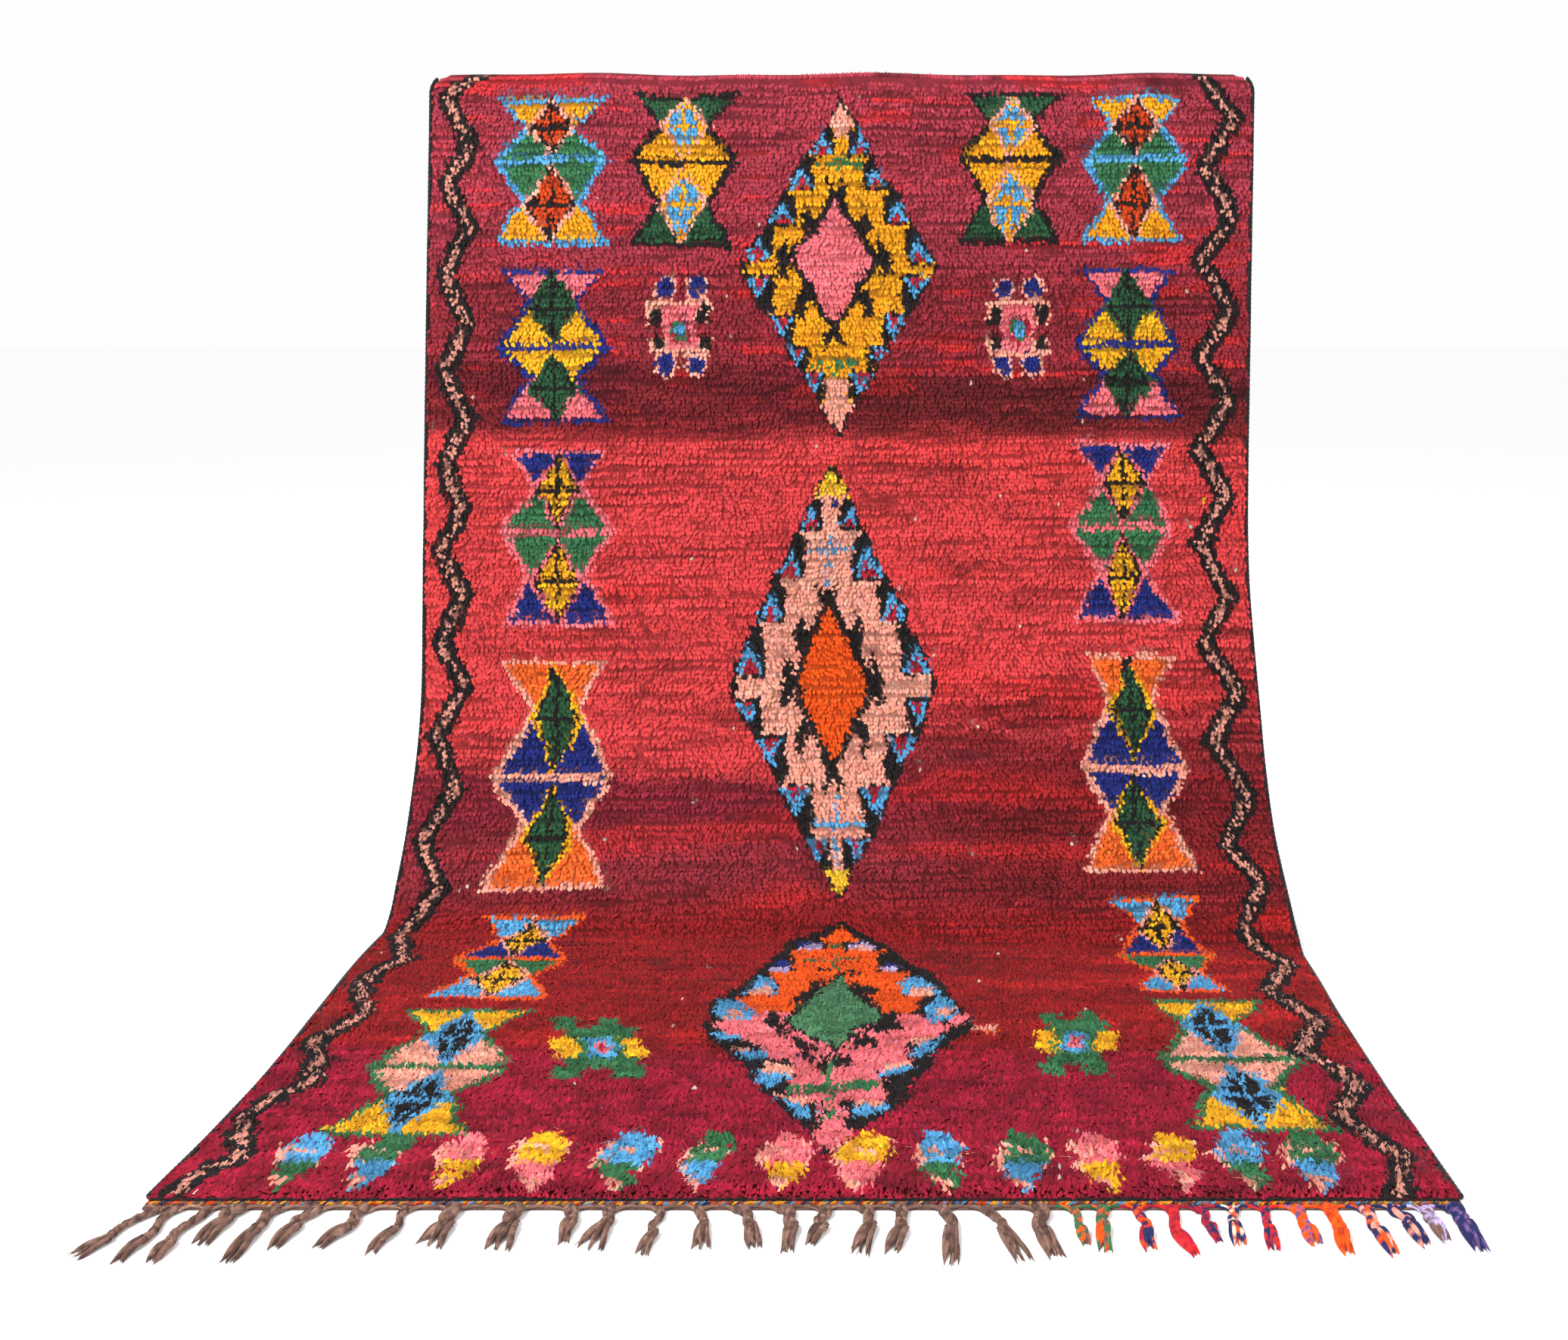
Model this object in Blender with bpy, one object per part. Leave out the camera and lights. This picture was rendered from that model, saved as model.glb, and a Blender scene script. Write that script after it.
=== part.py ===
"""Hand-knotted wool pile rug, hung at its top edge and sweeping forward onto the floor.

Metres, +Z up. The rug hangs at the back, its pile faces -Y, and its lower third lies on z = 0.
Inside this script a point of the cloth is given by its place across (-1 left to 1 right),
its fraction of the way down (0 top to 1 end) and its height above the cloth's back.
"""

import math

import bmesh
import bpy
from mathutils import Vector

WIDTH = 1.80
PILE = 0.016
FLOOR_PILE = 0.019
EDGE_PILE = 0.010
FLAT_END = 0.005
FLAT_END_LENGTH = 0.012
PILE_END_SLOPE = 0.009
CORNER = 0.040
GAP = 0.0003

# Section of the cloth's middle from the side: height above the floor, and distance in front
# of the top edge along the left and the right side. The right side leaves the floor nearer.
SECTIONS = (
    # height, left, right
    (1.775, 0.000, 0.000),
    (1.431, 0.030, 0.030),
    (1.199, 0.050, 0.050),
    (0.967, 0.068, 0.068),
    (0.793, 0.083, 0.083),
    (0.678, 0.101, 0.101),
    (0.567, 0.128, 0.128),
    (0.456, 0.160, 0.161),
    (0.349, 0.198, 0.201),
    (0.248, 0.246, 0.255),
    (0.200, 0.275, 0.288),
    (0.156, 0.304, 0.330),
    (0.113, 0.338, 0.386),
    (0.073, 0.373, 0.447),
    (0.038, 0.404, 0.499),
    (PILE / 2, 0.452, 0.562),
)
REACH = 1.382

# Wander of the two sides: distance down the cloth and the shift of each side to the right
SIDES = (
    # down, left, right
    (0.00, 0.001, 0.001),
    (0.58, -0.007, -0.007),
    (1.05, -0.013, -0.013),
    (1.45, 0.000, 0.000),
    (1.80, 0.000, 0.003),
    (2.00, -0.007, 0.003),
    (2.25, 0.000, -0.002),
    (2.45, 0.005, -0.002),
    (2.60, 0.001, 0.002),
    (2.82, -0.014, 0.007),
)

# Rows of the panel's mesh: how far down each zone ends and how many rows it takes
ROW_ZONES = (
    # down, rows
    (0.010, 1),
    (0.040, 2),
    (1.100, 17),
    (1.680, 16),
    (2.020, 15),
    (2.765, 13),
)
COLUMNS = 26
FURROW = 0.0016
BILLOW = 0.004
TOP_WAVE = 0.0025

SELVEDGE_RADIUS = 0.004
SELVEDGE_LIFT = 0.0052
SELVEDGE_SIDES = 6
SELVEDGE_FIRST_ROW = 2

BAND_DEPTH = 0.017
BAND_HEIGHT = 0.007
BAND_STEPS = 30

BACKING_DEPTH = 0.009
BACKING_HEIGHT = 0.006
STEM_HEIGHT = 0.008
KNOT_HEIGHT = 0.011
LOCK_HEIGHT = 0.006

# Braided tassels from left to right, in centimetres: root along the hem from the middle,
# stem width, knot to the side and forward, tip to the side and forward, splay of the locks
# at the tip, and number of locks
TASSELS = (
    # root, wide, knot_x, knot_y, tip_x, tip_y, splay, locks
    (-88.6, 1.1, -3.6, 7.0, -6.4, 10.6, 2.6, 4),
    (-86.2, 1.1, -1.2, 7.2, -2.6, 12.2, 2.4, 3),
    (-81.9, 1.2, -1.6, 7.9, -2.6, 12.0, 1.8, 3),
    (-77.6, 1.6, -0.8, 2.6, -2.2, 8.0, 3.2, 4),
    (-72.3, 1.4, -1.2, 5.2, -2.2, 11.8, 2.2, 4),
    (-66.8, 1.4, -1.6, 4.2, -3.0, 9.0, 1.8, 3),
    (-60.1, 1.4, -1.3, 4.6, -4.0, 8.8, 2.4, 3),
    (-54.6, 1.0, -0.4, 5.2, -2.0, 10.4, 2.0, 3),
    (-48.5, 1.8, 0.2, 3.9, -1.0, 8.2, 5.4, 4),
    (-39.8, 1.8, 0.2, 3.8, -0.4, 9.0, 4.6, 4),
    (-32.1, 1.6, 0.4, 3.2, 0.3, 7.8, 2.2, 3),
    (-26.5, 1.4, -0.4, 3.8, -1.6, 9.0, 4.6, 4),
    (-20.2, 1.0, 0.2, 5.7, -0.8, 10.2, 2.6, 4),
    (-14.7, 1.2, 1.1, 4.6, 1.3, 8.9, 3.6, 4),
    (-9.4, 1.3, 2.3, 4.3, 3.2, 8.7, 2.0, 4),
    (-3.4, 1.4, 1.8, 4.1, 1.4, 9.8, 2.2, 4),
    (2.4, 1.4, 0.0, 4.3, -1.7, 8.1, 1.9, 3),
    (8.0, 1.4, 0.9, 4.0, -0.4, 10.2, 3.2, 4),
    (13.1, 1.5, 0.0, 5.0, -1.6, 10.0, 2.4, 3),
    (19.0, 1.4, 0.8, 4.8, 0.4, 12.6, 2.4, 4),
    (24.6, 1.2, 2.1, 5.0, 4.6, 11.8, 3.2, 4),
    (31.8, 1.8, 0.2, 5.5, 1.6, 10.8, 3.0, 4),
    (36.6, 1.0, 0.6, 5.0, 0.9, 8.2, 1.6, 3),
    (40.6, 1.4, -0.3, 4.0, -0.8, 9.6, 2.4, 4),
    (45.6, 1.2, 0.3, 5.2, 0.3, 9.3, 2.6, 3),
    (50.0, 1.4, 0.0, 6.4, 1.6, 10.4, 1.6, 3),
    (53.8, 1.0, 0.9, 4.3, 1.4, 7.4, 1.8, 3),
    (58.6, 1.2, -0.6, 4.0, -0.8, 8.0, 2.2, 4),
    (62.8, 1.1, -0.3, 4.9, -0.8, 9.0, 1.9, 4),
    (67.2, 1.4, 0.3, 4.9, 0.9, 8.2, 1.8, 3),
    (71.8, 1.6, 0.0, 5.6, -0.2, 10.2, 2.2, 3),
    (76.4, 1.4, 0.5, 5.4, 1.2, 10.5, 2.0, 3),
    (80.6, 1.4, 0.9, 3.9, 1.8, 8.4, 2.0, 3),
    (84.6, 1.2, 0.4, 3.2, 0.8, 7.4, 2.0, 3),
    (88.4, 1.8, 0.7, 3.6, 0.9, 9.5, 2.6, 4),
)
CENTIMETRE = 0.01

COLOURS = {
    # node's material: colour, roughness
    "pile_wool": ((0.38, 0.025, 0.045), 0.95),
    "selvedge_yarn": ((0.016, 0.014, 0.015), 0.90),
    "band_yarn": ((0.45, 0.26, 0.06), 0.90),
    "fringe_yarn": ((0.22, 0.13, 0.10), 0.92),
}


def clear_scene():
    for item in list(bpy.data.objects):
        bpy.data.objects.remove(item, do_unlink=True)


def make_material(name):
    colour, roughness = COLOURS[name]
    material = bpy.data.materials.new(name)
    material.use_nodes = True
    shader = material.node_tree.nodes["Principled BSDF"]
    shader.inputs["Base Color"].default_value = (*colour, 1.0)
    shader.inputs["Roughness"].default_value = roughness
    shader.inputs["Metallic"].default_value = 0.0
    material.diffuse_color = (*colour, 1.0)
    return material


def slopes(knots, values):
    """Slopes at the knots of a smooth curve that never overshoots its values."""
    steps = [b - a for a, b in zip(knots, knots[1:])]
    rises = [(b - a) / s for a, b, s in zip(values, values[1:], steps)]
    found = [rises[0]]
    for before, after, left, right in zip(rises, rises[1:], steps, steps[1:]):
        if before * after <= 0.0:
            found.append(0.0)
            continue
        near = 2 * right + left
        far = right + 2 * left
        found.append((near + far) / (near / before + far / after))
    found.append(rises[-1])
    return found


def smooth(knots, values, at, tilts=None):
    """Value at a place on the smooth curve through the knots."""
    tilts = tilts or slopes(knots, values)
    at = min(max(at, knots[0]), knots[-1])
    i = 0
    while i < len(knots) - 2 and at > knots[i + 1]:
        i += 1
    step = knots[i + 1] - knots[i]
    t = (at - knots[i]) / step
    return (
        (1 + 2 * t) * (1 - t) ** 2 * values[i]
        + t * (1 - t) ** 2 * step * tilts[i]
        + t * t * (3 - 2 * t) * values[i + 1]
        + t * t * (t - 1) * step * tilts[i + 1]
    )


class Profile:
    """The cloth's middle line at one place across it, measured by the distance down it."""

    STEPS = 600

    def __init__(self, across):
        share = (across + 1) / 2
        points = [(left + (right - left) * share, z) for z, left, right in SECTIONS]
        landing = points[-1][0]
        points += [(landing + (REACH - landing) * part, PILE / 2) for part in (0.3, 1.0)]
        knots = [0.0]
        for (y0, z0), (y1, z1) in zip(points, points[1:]):
            knots.append(knots[-1] + math.hypot(y1 - y0, z1 - z0))
        forward = [p[0] for p in points]
        height = [p[1] for p in points]
        tilt_y, tilt_z = slopes(knots, forward), slopes(knots, height)
        self.line = []
        for i in range(self.STEPS + 1):
            at = knots[-1] * i / self.STEPS
            y = smooth(knots, forward, at, tilt_y)
            z = smooth(knots, height, at, tilt_z)
            self.line.append((y, z))
        self.down = [0.0]
        for (y0, z0), (y1, z1) in zip(self.line, self.line[1:]):
            self.down.append(self.down[-1] + math.hypot(y1 - y0, z1 - z0))
        self.length = self.down[-1]

    def at(self, distance):
        """Forward distance and height at a distance down the cloth."""
        distance = min(max(distance, 0.0), self.length)
        low, high = 0, self.STEPS
        while high - low > 1:
            middle = (low + high) // 2
            if self.down[middle] <= distance:
                low = middle
            else:
                high = middle
        t = (distance - self.down[low]) / (self.down[high] - self.down[low])
        (y0, z0), (y1, z1) = self.line[low], self.line[high]
        return y0 + (y1 - y0) * t, z0 + (z1 - z0) * t


PROFILES = {}


def profile(across):
    key = round(across, 6)
    if key not in PROFILES:
        PROFILES[key] = Profile(key)
    return PROFILES[key]


def ease(value):
    value = min(max(value, 0.0), 1.0)
    return value * value * (3 - 2 * value)


SIDE_DOWN = [row[0] for row in SIDES]
SIDE_LEFT = [row[1] for row in SIDES]
SIDE_RIGHT = [row[2] for row in SIDES]


def side(across, down):
    """Distance of a place across the cloth to the right of its middle line."""
    left = smooth(SIDE_DOWN, SIDE_LEFT, down)
    right = smooth(SIDE_DOWN, SIDE_RIGHT, down)
    inset = 0.0
    if down < CORNER:
        inset = CORNER - math.sqrt(CORNER**2 - (CORNER - down) ** 2)
    return across * (WIDTH / 2 - inset) + left + (right - left) * (across + 1) / 2


def hanging(down):
    """1 in the middle of the hanging stretch, 0 at the top edge and on the floor."""
    return ease(down / 0.5) * (1 - ease((down - 1.0) / 0.6))


def middle(across, part):
    """Point of the cloth's middle."""
    line = profile(across)
    down = part * line.length
    forward, height = line.at(down)
    x = side(across, down)
    swell = math.sin(2.1 * x + 3.3 * down + 0.6) + 0.6 * math.sin(5.2 * x - 2.4 * down)
    forward += BILLOW * swell * hanging(down)
    wave = math.sin(9.6 * x + 0.9) + 0.5 * math.sin(21.0 * x)
    height += TOP_WAVE * wave * (1 - ease(down / 0.35))
    return Vector((x, -forward, height))


def cloth(across, part, above):
    """Point at a height above the cloth's back, straight out from it."""
    step = 0.002
    low, high = max(part - step, 0.0), min(part + step, 1.0)
    left, right = max(across - 0.02, -1.0), min(across + 0.02, 1.0)
    along = middle(across, high) - middle(across, low)
    sideways = middle(right, part) - middle(left, part)
    out = along.cross(sideways).normalized()
    return middle(across, part) + out * (above - PILE / 2)


def pile_height(across, part):
    """Height of the pile's face, furrowed between its rows and shaggier on the floor."""
    length = profile(across).length
    down = part * length
    x = across * WIDTH / 2
    height = PILE + (FLOOR_PILE - PILE) * ease((down - 1.6) / 0.8)
    furrow = math.sin(71.0 * down + 1.3 * math.sin(3.1 * x)) + 0.5 * math.sin(17.0 * x + 23.0 * down)
    height += FURROW * furrow
    to_side = WIDTH / 2 * (1 - abs(across))
    to_top = down
    rim = min(to_side, to_top)
    height = EDGE_PILE + (height - EDGE_PILE) * ease(rim / 0.05)
    to_end = length - down - FLAT_END_LENGTH
    return FLAT_END + (height - FLAT_END) * ease(to_end / PILE_END_SLOPE)


def row_places(length):
    """Distances down the cloth of the panel's rows, closer at the knee."""
    places = [0.0]
    for end, count in ROW_ZONES:
        start = places[-1]
        places += [start + (end - start) * (i + 1) / count for i in range(count)]
    places += [length - FLAT_END_LENGTH - PILE_END_SLOPE, length - FLAT_END_LENGTH, length]
    return places


def close_body(name, bm, material):
    bmesh.ops.remove_doubles(bm, verts=bm.verts, dist=1e-6)
    bmesh.ops.recalc_face_normals(bm, faces=bm.faces)
    mesh = bpy.data.meshes.new(name)
    bm.to_mesh(mesh)
    bm.free()
    mesh.shade_smooth()
    mesh.set_sharp_from_angle(angle=math.radians(40))
    body = bpy.data.objects.new(name, mesh)
    mesh.materials.append(material)
    bpy.context.collection.objects.link(body)
    return body


def strip_faces(bm, first, second, closed=True):
    """Quads between two equal rings of points."""
    count = len(first)
    for i in range(count if closed else count - 1):
        j = (i + 1) % count
        bm.faces.new((first[i], first[j], second[j], second[i]))


def rug_panel(material):
    """The knotted panel with its flat-woven end, one slab of true thickness."""
    bm = bmesh.new()
    columns = [2 * i / COLUMNS - 1 for i in range(COLUMNS + 1)]
    fronts, backs = [], []
    for number in range(len(row_places(1.0))):
        front, back = [], []
        for across in columns:
            length = profile(across).length
            part = row_places(length)[number] / length
            front.append(bm.verts.new(cloth(across, part, pile_height(across, part))))
            back.append(bm.verts.new(cloth(across, part, 0.0)))
        fronts.append(front)
        backs.append(back)
    for above, below in zip(fronts, fronts[1:]):
        strip_faces(bm, above, below, closed=False)
    for above, below in zip(backs, backs[1:]):
        strip_faces(bm, below, above, closed=False)
    strip_faces(bm, backs[0], fronts[0], closed=False)
    strip_faces(bm, fronts[-1], backs[-1], closed=False)
    for edge in (0, -1):
        strip_faces(bm, [row[edge] for row in fronts], [row[edge] for row in backs], closed=False)
    return close_body("rug_panel", bm, material)


def selvedge(name, hand, material):
    """Overcast cord along one side, from the top corner to the end of the panel."""
    bm = bmesh.new()
    length = profile(hand).length
    rings = []
    for down in row_places(length)[SELVEDGE_FIRST_ROW:]:
        part = down / length
        near = cloth(hand, part, SELVEDGE_LIFT)
        ahead = cloth(hand, min(part + 0.002, 1.0), SELVEDGE_LIFT)
        behind = cloth(hand, max(part - 0.002, 0.0), SELVEDGE_LIFT)
        along = (ahead - behind).normalized()
        up = (cloth(hand, part, PILE) - cloth(hand, part, 0.0)).normalized()
        out = along.cross(up).normalized()
        if out.x * hand < 0:
            out = -out
        centre = near + out * (SELVEDGE_RADIUS + GAP)
        ring = []
        for k in range(SELVEDGE_SIDES):
            turn = 2 * math.pi * (k + 0.5) / SELVEDGE_SIDES
            offset = out * math.cos(turn) + up * math.sin(turn)
            ring.append(bm.verts.new(centre + offset * SELVEDGE_RADIUS))
        rings.append(ring)
    for first, second in zip(rings, rings[1:]):
        strip_faces(bm, first, second)
    bm.faces.new(rings[0])
    bm.faces.new(rings[-1])
    return close_body(name, bm, material)


def hem_side(hand):
    """Sideways place of the cloth's corner at its end."""
    return side(hand, profile(hand).length)


def end_band(material):
    """Twined heading along the end: a dark ridge and a coloured chain ridge."""
    bm = bmesh.new()
    start = REACH + GAP
    outline = (
        # share of the depth, share of the height
        (0.00, 0.00),
        (0.00, 0.60),
        (0.16, 0.95),
        (0.34, 0.80),
        (0.45, 0.55),
        (0.58, 0.85),
        (0.74, 1.00),
        (0.92, 0.80),
        (1.00, 0.50),
        (1.00, 0.00),
    )
    left, right = hem_side(-1), hem_side(1)
    rings = []
    for i in range(BAND_STEPS + 1):
        x = left + (right - left) * i / BAND_STEPS
        swell = 1 + 0.06 * math.sin(40.0 * x)
        ring = []
        for deep, high in outline:
            place = (x, -(start + deep * BAND_DEPTH), high * BAND_HEIGHT * swell)
            ring.append(bm.verts.new(place))
        rings.append(ring)
    for first, second in zip(rings, rings[1:]):
        strip_faces(bm, first, second)
    bm.faces.new(rings[0])
    bm.faces.new(rings[-1])
    return close_body("end_band", bm, material)


def bottom_and_top(bm, left, right, height, taper=0.72):
    """Four corners of a strand's section: level underneath, narrower on top."""
    centre = (left + right) / 2
    half = (right - left) / 2
    lift = Vector((0, 0, height))
    places = (left, centre - half * taper + lift, centre + half * taper + lift, right)
    return [bm.verts.new(place) for place in places]


def tassel(bm, root, row):
    """One braided stem with its knot and loose locks, grown from the backing's front."""
    x0, wide, knot_x, knot_y, tip_x, tip_y, splay, locks = row
    base = REACH + 2 * GAP + BAND_DEPTH + BACKING_DEPTH
    start = Vector((x0 * CENTIMETRE, -base, 0))
    knot = start + Vector((knot_x, -knot_y, 0)) * CENTIMETRE
    tip = start + Vector((tip_x, -tip_y, 0)) * CENTIMETRE
    half = wide * CENTIMETRE / 2
    last = root
    for t, size in ((0.30, 0.90), (0.68, 0.86), (0.88, 0.80)):
        bend = math.sin(t * math.pi) * 0.25 * (knot.x - start.x)
        centre = start.lerp(knot, t) + Vector((bend, 0, 0))
        heading = (knot - start).normalized()
        across = Vector((-heading.y, heading.x, 0)) * half * size
        ring = bottom_and_top(bm, centre - across, centre + across, STEM_HEIGHT)
        strip_faces(bm, last, ring)
        last = ring
    heading = (tip - knot).normalized()
    across = Vector((-heading.y, heading.x, 0))
    spread = half * 1.25
    lows, highs = [], []
    for i in range(locks + 1):
        aside = across * spread * (2 * i / locks - 1)
        lows.append(bm.verts.new(knot + aside))
        highs.append(bm.verts.new(knot + aside * 0.9 + Vector((0, 0, KNOT_HEIGHT))))
    bm.faces.new((last[0], last[1], highs[0], lows[0]))
    bm.faces.new((last[2], last[3], lows[-1], highs[-1]))
    bm.faces.new((last[1], last[2], *reversed(highs)))
    bm.faces.new((last[3], last[0], *lows))
    reach = (tip - knot).length
    for i in range(locks):
        fan = (2 * i + 1) / locks - 1
        ring = [lows[i], highs[i], highs[i + 1], lows[i + 1]]
        stretch = reach * (1 - 0.12 * ((i * 3) % locks) / locks)
        for t, size, rise in ((0.5, 0.80, LOCK_HEIGHT), (1.0, 0.30, LOCK_HEIGHT * 0.4)):
            offset = spread + (splay * CENTIMETRE / 2 - spread) * t
            centre = knot + heading * stretch * t + across * fan * offset
            width = across * spread / locks * size
            following = bottom_and_top(bm, centre - width, centre + width, rise)
            strip_faces(bm, ring, following)
            ring = following
        bm.faces.new(ring)


def fringe(material):
    """Narrow backing along the heading with the braided tassels fused to its front."""
    bm = bmesh.new()
    near = -(REACH + 2 * GAP + BAND_DEPTH)
    far = near - BACKING_DEPTH

    def station(x):
        places = (
            (x, near, 0),
            (x, near, BACKING_HEIGHT),
            (x, far, BACKING_HEIGHT),
            (x, far, 0),
        )
        return [bm.verts.new(place) for place in places]

    last = station(hem_side(-1))
    bm.faces.new(last)
    for row in TASSELS:
        middle_x, half = row[0] * CENTIMETRE, row[1] * CENTIMETRE / 2
        left, right = station(middle_x - half), station(middle_x + half)
        strip_faces(bm, last, left)
        for i in (0, 1, 3):
            j = (i + 1) % 4
            bm.faces.new((left[i], left[j], right[j], right[i]))
        tassel(bm, [left[3], left[2], right[2], right[3]], row)
        last = right
    end = station(hem_side(1))
    strip_faces(bm, last, end)
    bm.faces.new(end)
    return close_body("fringe", bm, material)


def centre_on_origin(bodies):
    """Moves every piece so that the box of all of them stands centred over the origin."""
    places = [body.matrix_world @ v.co for body in bodies for v in body.data.vertices]
    shift_x = -(min(p.x for p in places) + max(p.x for p in places)) / 2
    shift_y = -(min(p.y for p in places) + max(p.y for p in places)) / 2
    for body in bodies:
        body.location = (shift_x, shift_y, 0)


def main():
    clear_scene()
    materials = {name: make_material(name) for name in COLOURS}
    bodies = [
        rug_panel(materials["pile_wool"]),
        selvedge("selvedge_left", -1, materials["selvedge_yarn"]),
        selvedge("selvedge_right", 1, materials["selvedge_yarn"]),
        end_band(materials["band_yarn"]),
        fringe(materials["fringe_yarn"]),
    ]
    centre_on_origin(bodies)


main()
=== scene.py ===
"""Looks of a hand-knotted wool pile rug, hung at its top edge and sweeping out onto the floor.

The rug is made as it is woven: a chart gives each knot its yarn, and each knot is a lobe of
yarn lying on the cloth. A place on the rug is given in centimetres: x to the right of the
middle, down from the top edge.
"""

import math

import bpy
import numpy as np
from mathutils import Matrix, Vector


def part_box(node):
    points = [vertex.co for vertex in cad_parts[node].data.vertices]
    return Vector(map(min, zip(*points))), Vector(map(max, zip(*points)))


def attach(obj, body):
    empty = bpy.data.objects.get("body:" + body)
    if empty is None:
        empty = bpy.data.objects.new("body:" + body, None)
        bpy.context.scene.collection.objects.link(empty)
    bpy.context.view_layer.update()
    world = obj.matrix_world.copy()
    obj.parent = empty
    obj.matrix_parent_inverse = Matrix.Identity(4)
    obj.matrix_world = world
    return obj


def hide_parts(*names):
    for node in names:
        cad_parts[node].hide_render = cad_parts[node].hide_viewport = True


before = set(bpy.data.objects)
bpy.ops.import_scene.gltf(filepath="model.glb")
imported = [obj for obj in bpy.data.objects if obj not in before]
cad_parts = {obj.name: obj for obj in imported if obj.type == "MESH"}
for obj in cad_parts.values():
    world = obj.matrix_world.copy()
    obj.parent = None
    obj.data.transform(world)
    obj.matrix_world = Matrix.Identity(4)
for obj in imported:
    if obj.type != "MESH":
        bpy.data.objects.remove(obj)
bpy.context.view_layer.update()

# The cloth, with the same driving dimensions as the CAD part, in metres
WIDTH = 1.80
PILE = 0.016
CORNER = 0.040
FLAT_END = 0.012
PILE_END = 0.004
REACH = 1.382
GAP = 0.0003
BILLOW = 0.004
TOP_WAVE = 0.0025

# Section of the cloth from the side: height, and distance forward along its left and right sides
SECTIONS = (
    (1.775, 0.000, 0.000),
    (1.431, 0.030, 0.030),
    (1.199, 0.050, 0.050),
    (0.967, 0.068, 0.068),
    (0.793, 0.083, 0.083),
    (0.678, 0.101, 0.101),
    (0.567, 0.128, 0.128),
    (0.456, 0.160, 0.161),
    (0.349, 0.198, 0.201),
    (0.248, 0.246, 0.255),
    (0.200, 0.275, 0.288),
    (0.156, 0.304, 0.330),
    (0.113, 0.338, 0.386),
    (0.073, 0.373, 0.447),
    (0.038, 0.404, 0.499),
    (PILE / 2, 0.452, 0.562),
)

# Wander of the two sides: distance down the cloth, and the shift of each side to the right
SIDES = (
    (0.00, 0.001, 0.001),
    (0.58, -0.007, -0.007),
    (1.05, -0.013, -0.013),
    (1.45, 0.000, 0.000),
    (1.80, 0.000, 0.003),
    (2.00, -0.007, 0.003),
    (2.25, 0.000, -0.002),
    (2.45, 0.005, -0.002),
    (2.60, 0.001, 0.002),
    (2.82, -0.014, 0.007),
)

# Depths of the twined heading and of the fringe's backing, as in the CAD part
BAND_DEPTH = 0.017
BACKING_DEPTH = 0.009

COLUMNS = 310
ROWS = 360
# Height of a row of knots at distances down the cloth: the finer rows lie nearer to the camera
ROW_PITCH = ((0.0, 0.0087), (1.72, 0.0087), (1.95, 0.0064), (2.80, 0.0064))
SEED = 7
CM = 0.01
# Size and start of the lattice behind each random field
FIELD_CELLS = 257
FIELD_START = (71.3, 37.7)

# The camera stands where the photograph was taken from: level with the hanging part, tilted down
CAMERA_PLACE = (0.15315, -2.6259, 1.1919)
CAMERA_TILT = 85.0
CAMERA_LENS = 34.749
CAMERA_SHIFT = (-0.0748, -0.1259)

# Soft studio lights: name, place, target, size, power and colour
LIGHTS = (
    ("key", (-2.2, -2.6, 4.2), (0.0, 0.1, 0.7), 1.6, 290, (1.0, 0.98, 0.95)),
    ("fill", (3.4, -3.6, 2.2), (0.0, 0.0, 0.7), 3.0, 60, (1, 1, 1)),
    ("rim", (1.5, 3.2, 3.4), (0.0, 0.6, 1.0), 2.0, 40, (1, 1, 1)),
)
BACKDROP_COLOUR = (0.985, 0.985, 0.99, 1)
FLOOR_COLOUR = (0.98, 0.98, 0.985, 1)
FLOOR_SIZE = 400
FLOOR_DROP = 0.0005


def make_camera():
    data = bpy.data.cameras.new("camera")
    data.sensor_fit = "HORIZONTAL"
    data.sensor_width = 36.0
    data.lens = CAMERA_LENS
    data.shift_x, data.shift_y = CAMERA_SHIFT
    camera = bpy.data.objects.new("camera", data)
    camera.location = CAMERA_PLACE
    camera.rotation_euler = (math.radians(CAMERA_TILT), 0, 0)
    bpy.context.collection.objects.link(camera)
    bpy.context.scene.camera = camera


def area_light(name, place, target, size, power, colour):
    data = bpy.data.lights.new(name, "AREA")
    data.shape = "DISK"
    data.size = size
    data.energy = power
    data.color = colour
    light = bpy.data.objects.new(name, data)
    light.location = place
    heading = Vector(target) - Vector(place)
    light.rotation_euler = heading.to_track_quat("-Z", "Y").to_euler()
    bpy.context.collection.objects.link(light)


def make_studio():
    bpy.context.scene.view_settings.view_transform = "Standard"
    world = bpy.data.worlds.new("studio")
    world.use_nodes = True
    backdrop = world.node_tree.nodes["Background"]
    backdrop.inputs["Color"].default_value = BACKDROP_COLOUR
    backdrop.inputs["Strength"].default_value = 1.0
    bpy.context.scene.world = world
    for light in LIGHTS:
        area_light(*light)
    bpy.ops.mesh.primitive_plane_add(size=FLOOR_SIZE, location=(0, 0, -FLOOR_DROP))
    floor = bpy.context.object
    floor.name = "floor"
    material = bpy.data.materials.new("pale_floor")
    material.use_nodes = True
    shader = material.node_tree.nodes["Principled BSDF"]
    shader.inputs["Base Color"].default_value = FLOOR_COLOUR
    shader.inputs["Roughness"].default_value = 1.0
    shader.inputs["Specular IOR Level"].default_value = 0.0
    floor.data.materials.append(material)


# Curves and noise


def slopes(knots, values):
    """Slopes at the knots of a smooth curve that never overshoots its values."""
    steps = np.diff(knots)
    rises = np.diff(values) / steps
    found = np.zeros(len(knots))
    found[0], found[-1] = rises[0], rises[-1]
    for i in range(1, len(knots) - 1):
        if rises[i - 1] * rises[i] > 0:
            near = 2 * steps[i] + steps[i - 1]
            far = steps[i] + 2 * steps[i - 1]
            found[i] = (near + far) / (near / rises[i - 1] + far / rises[i])
    return found


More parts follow.
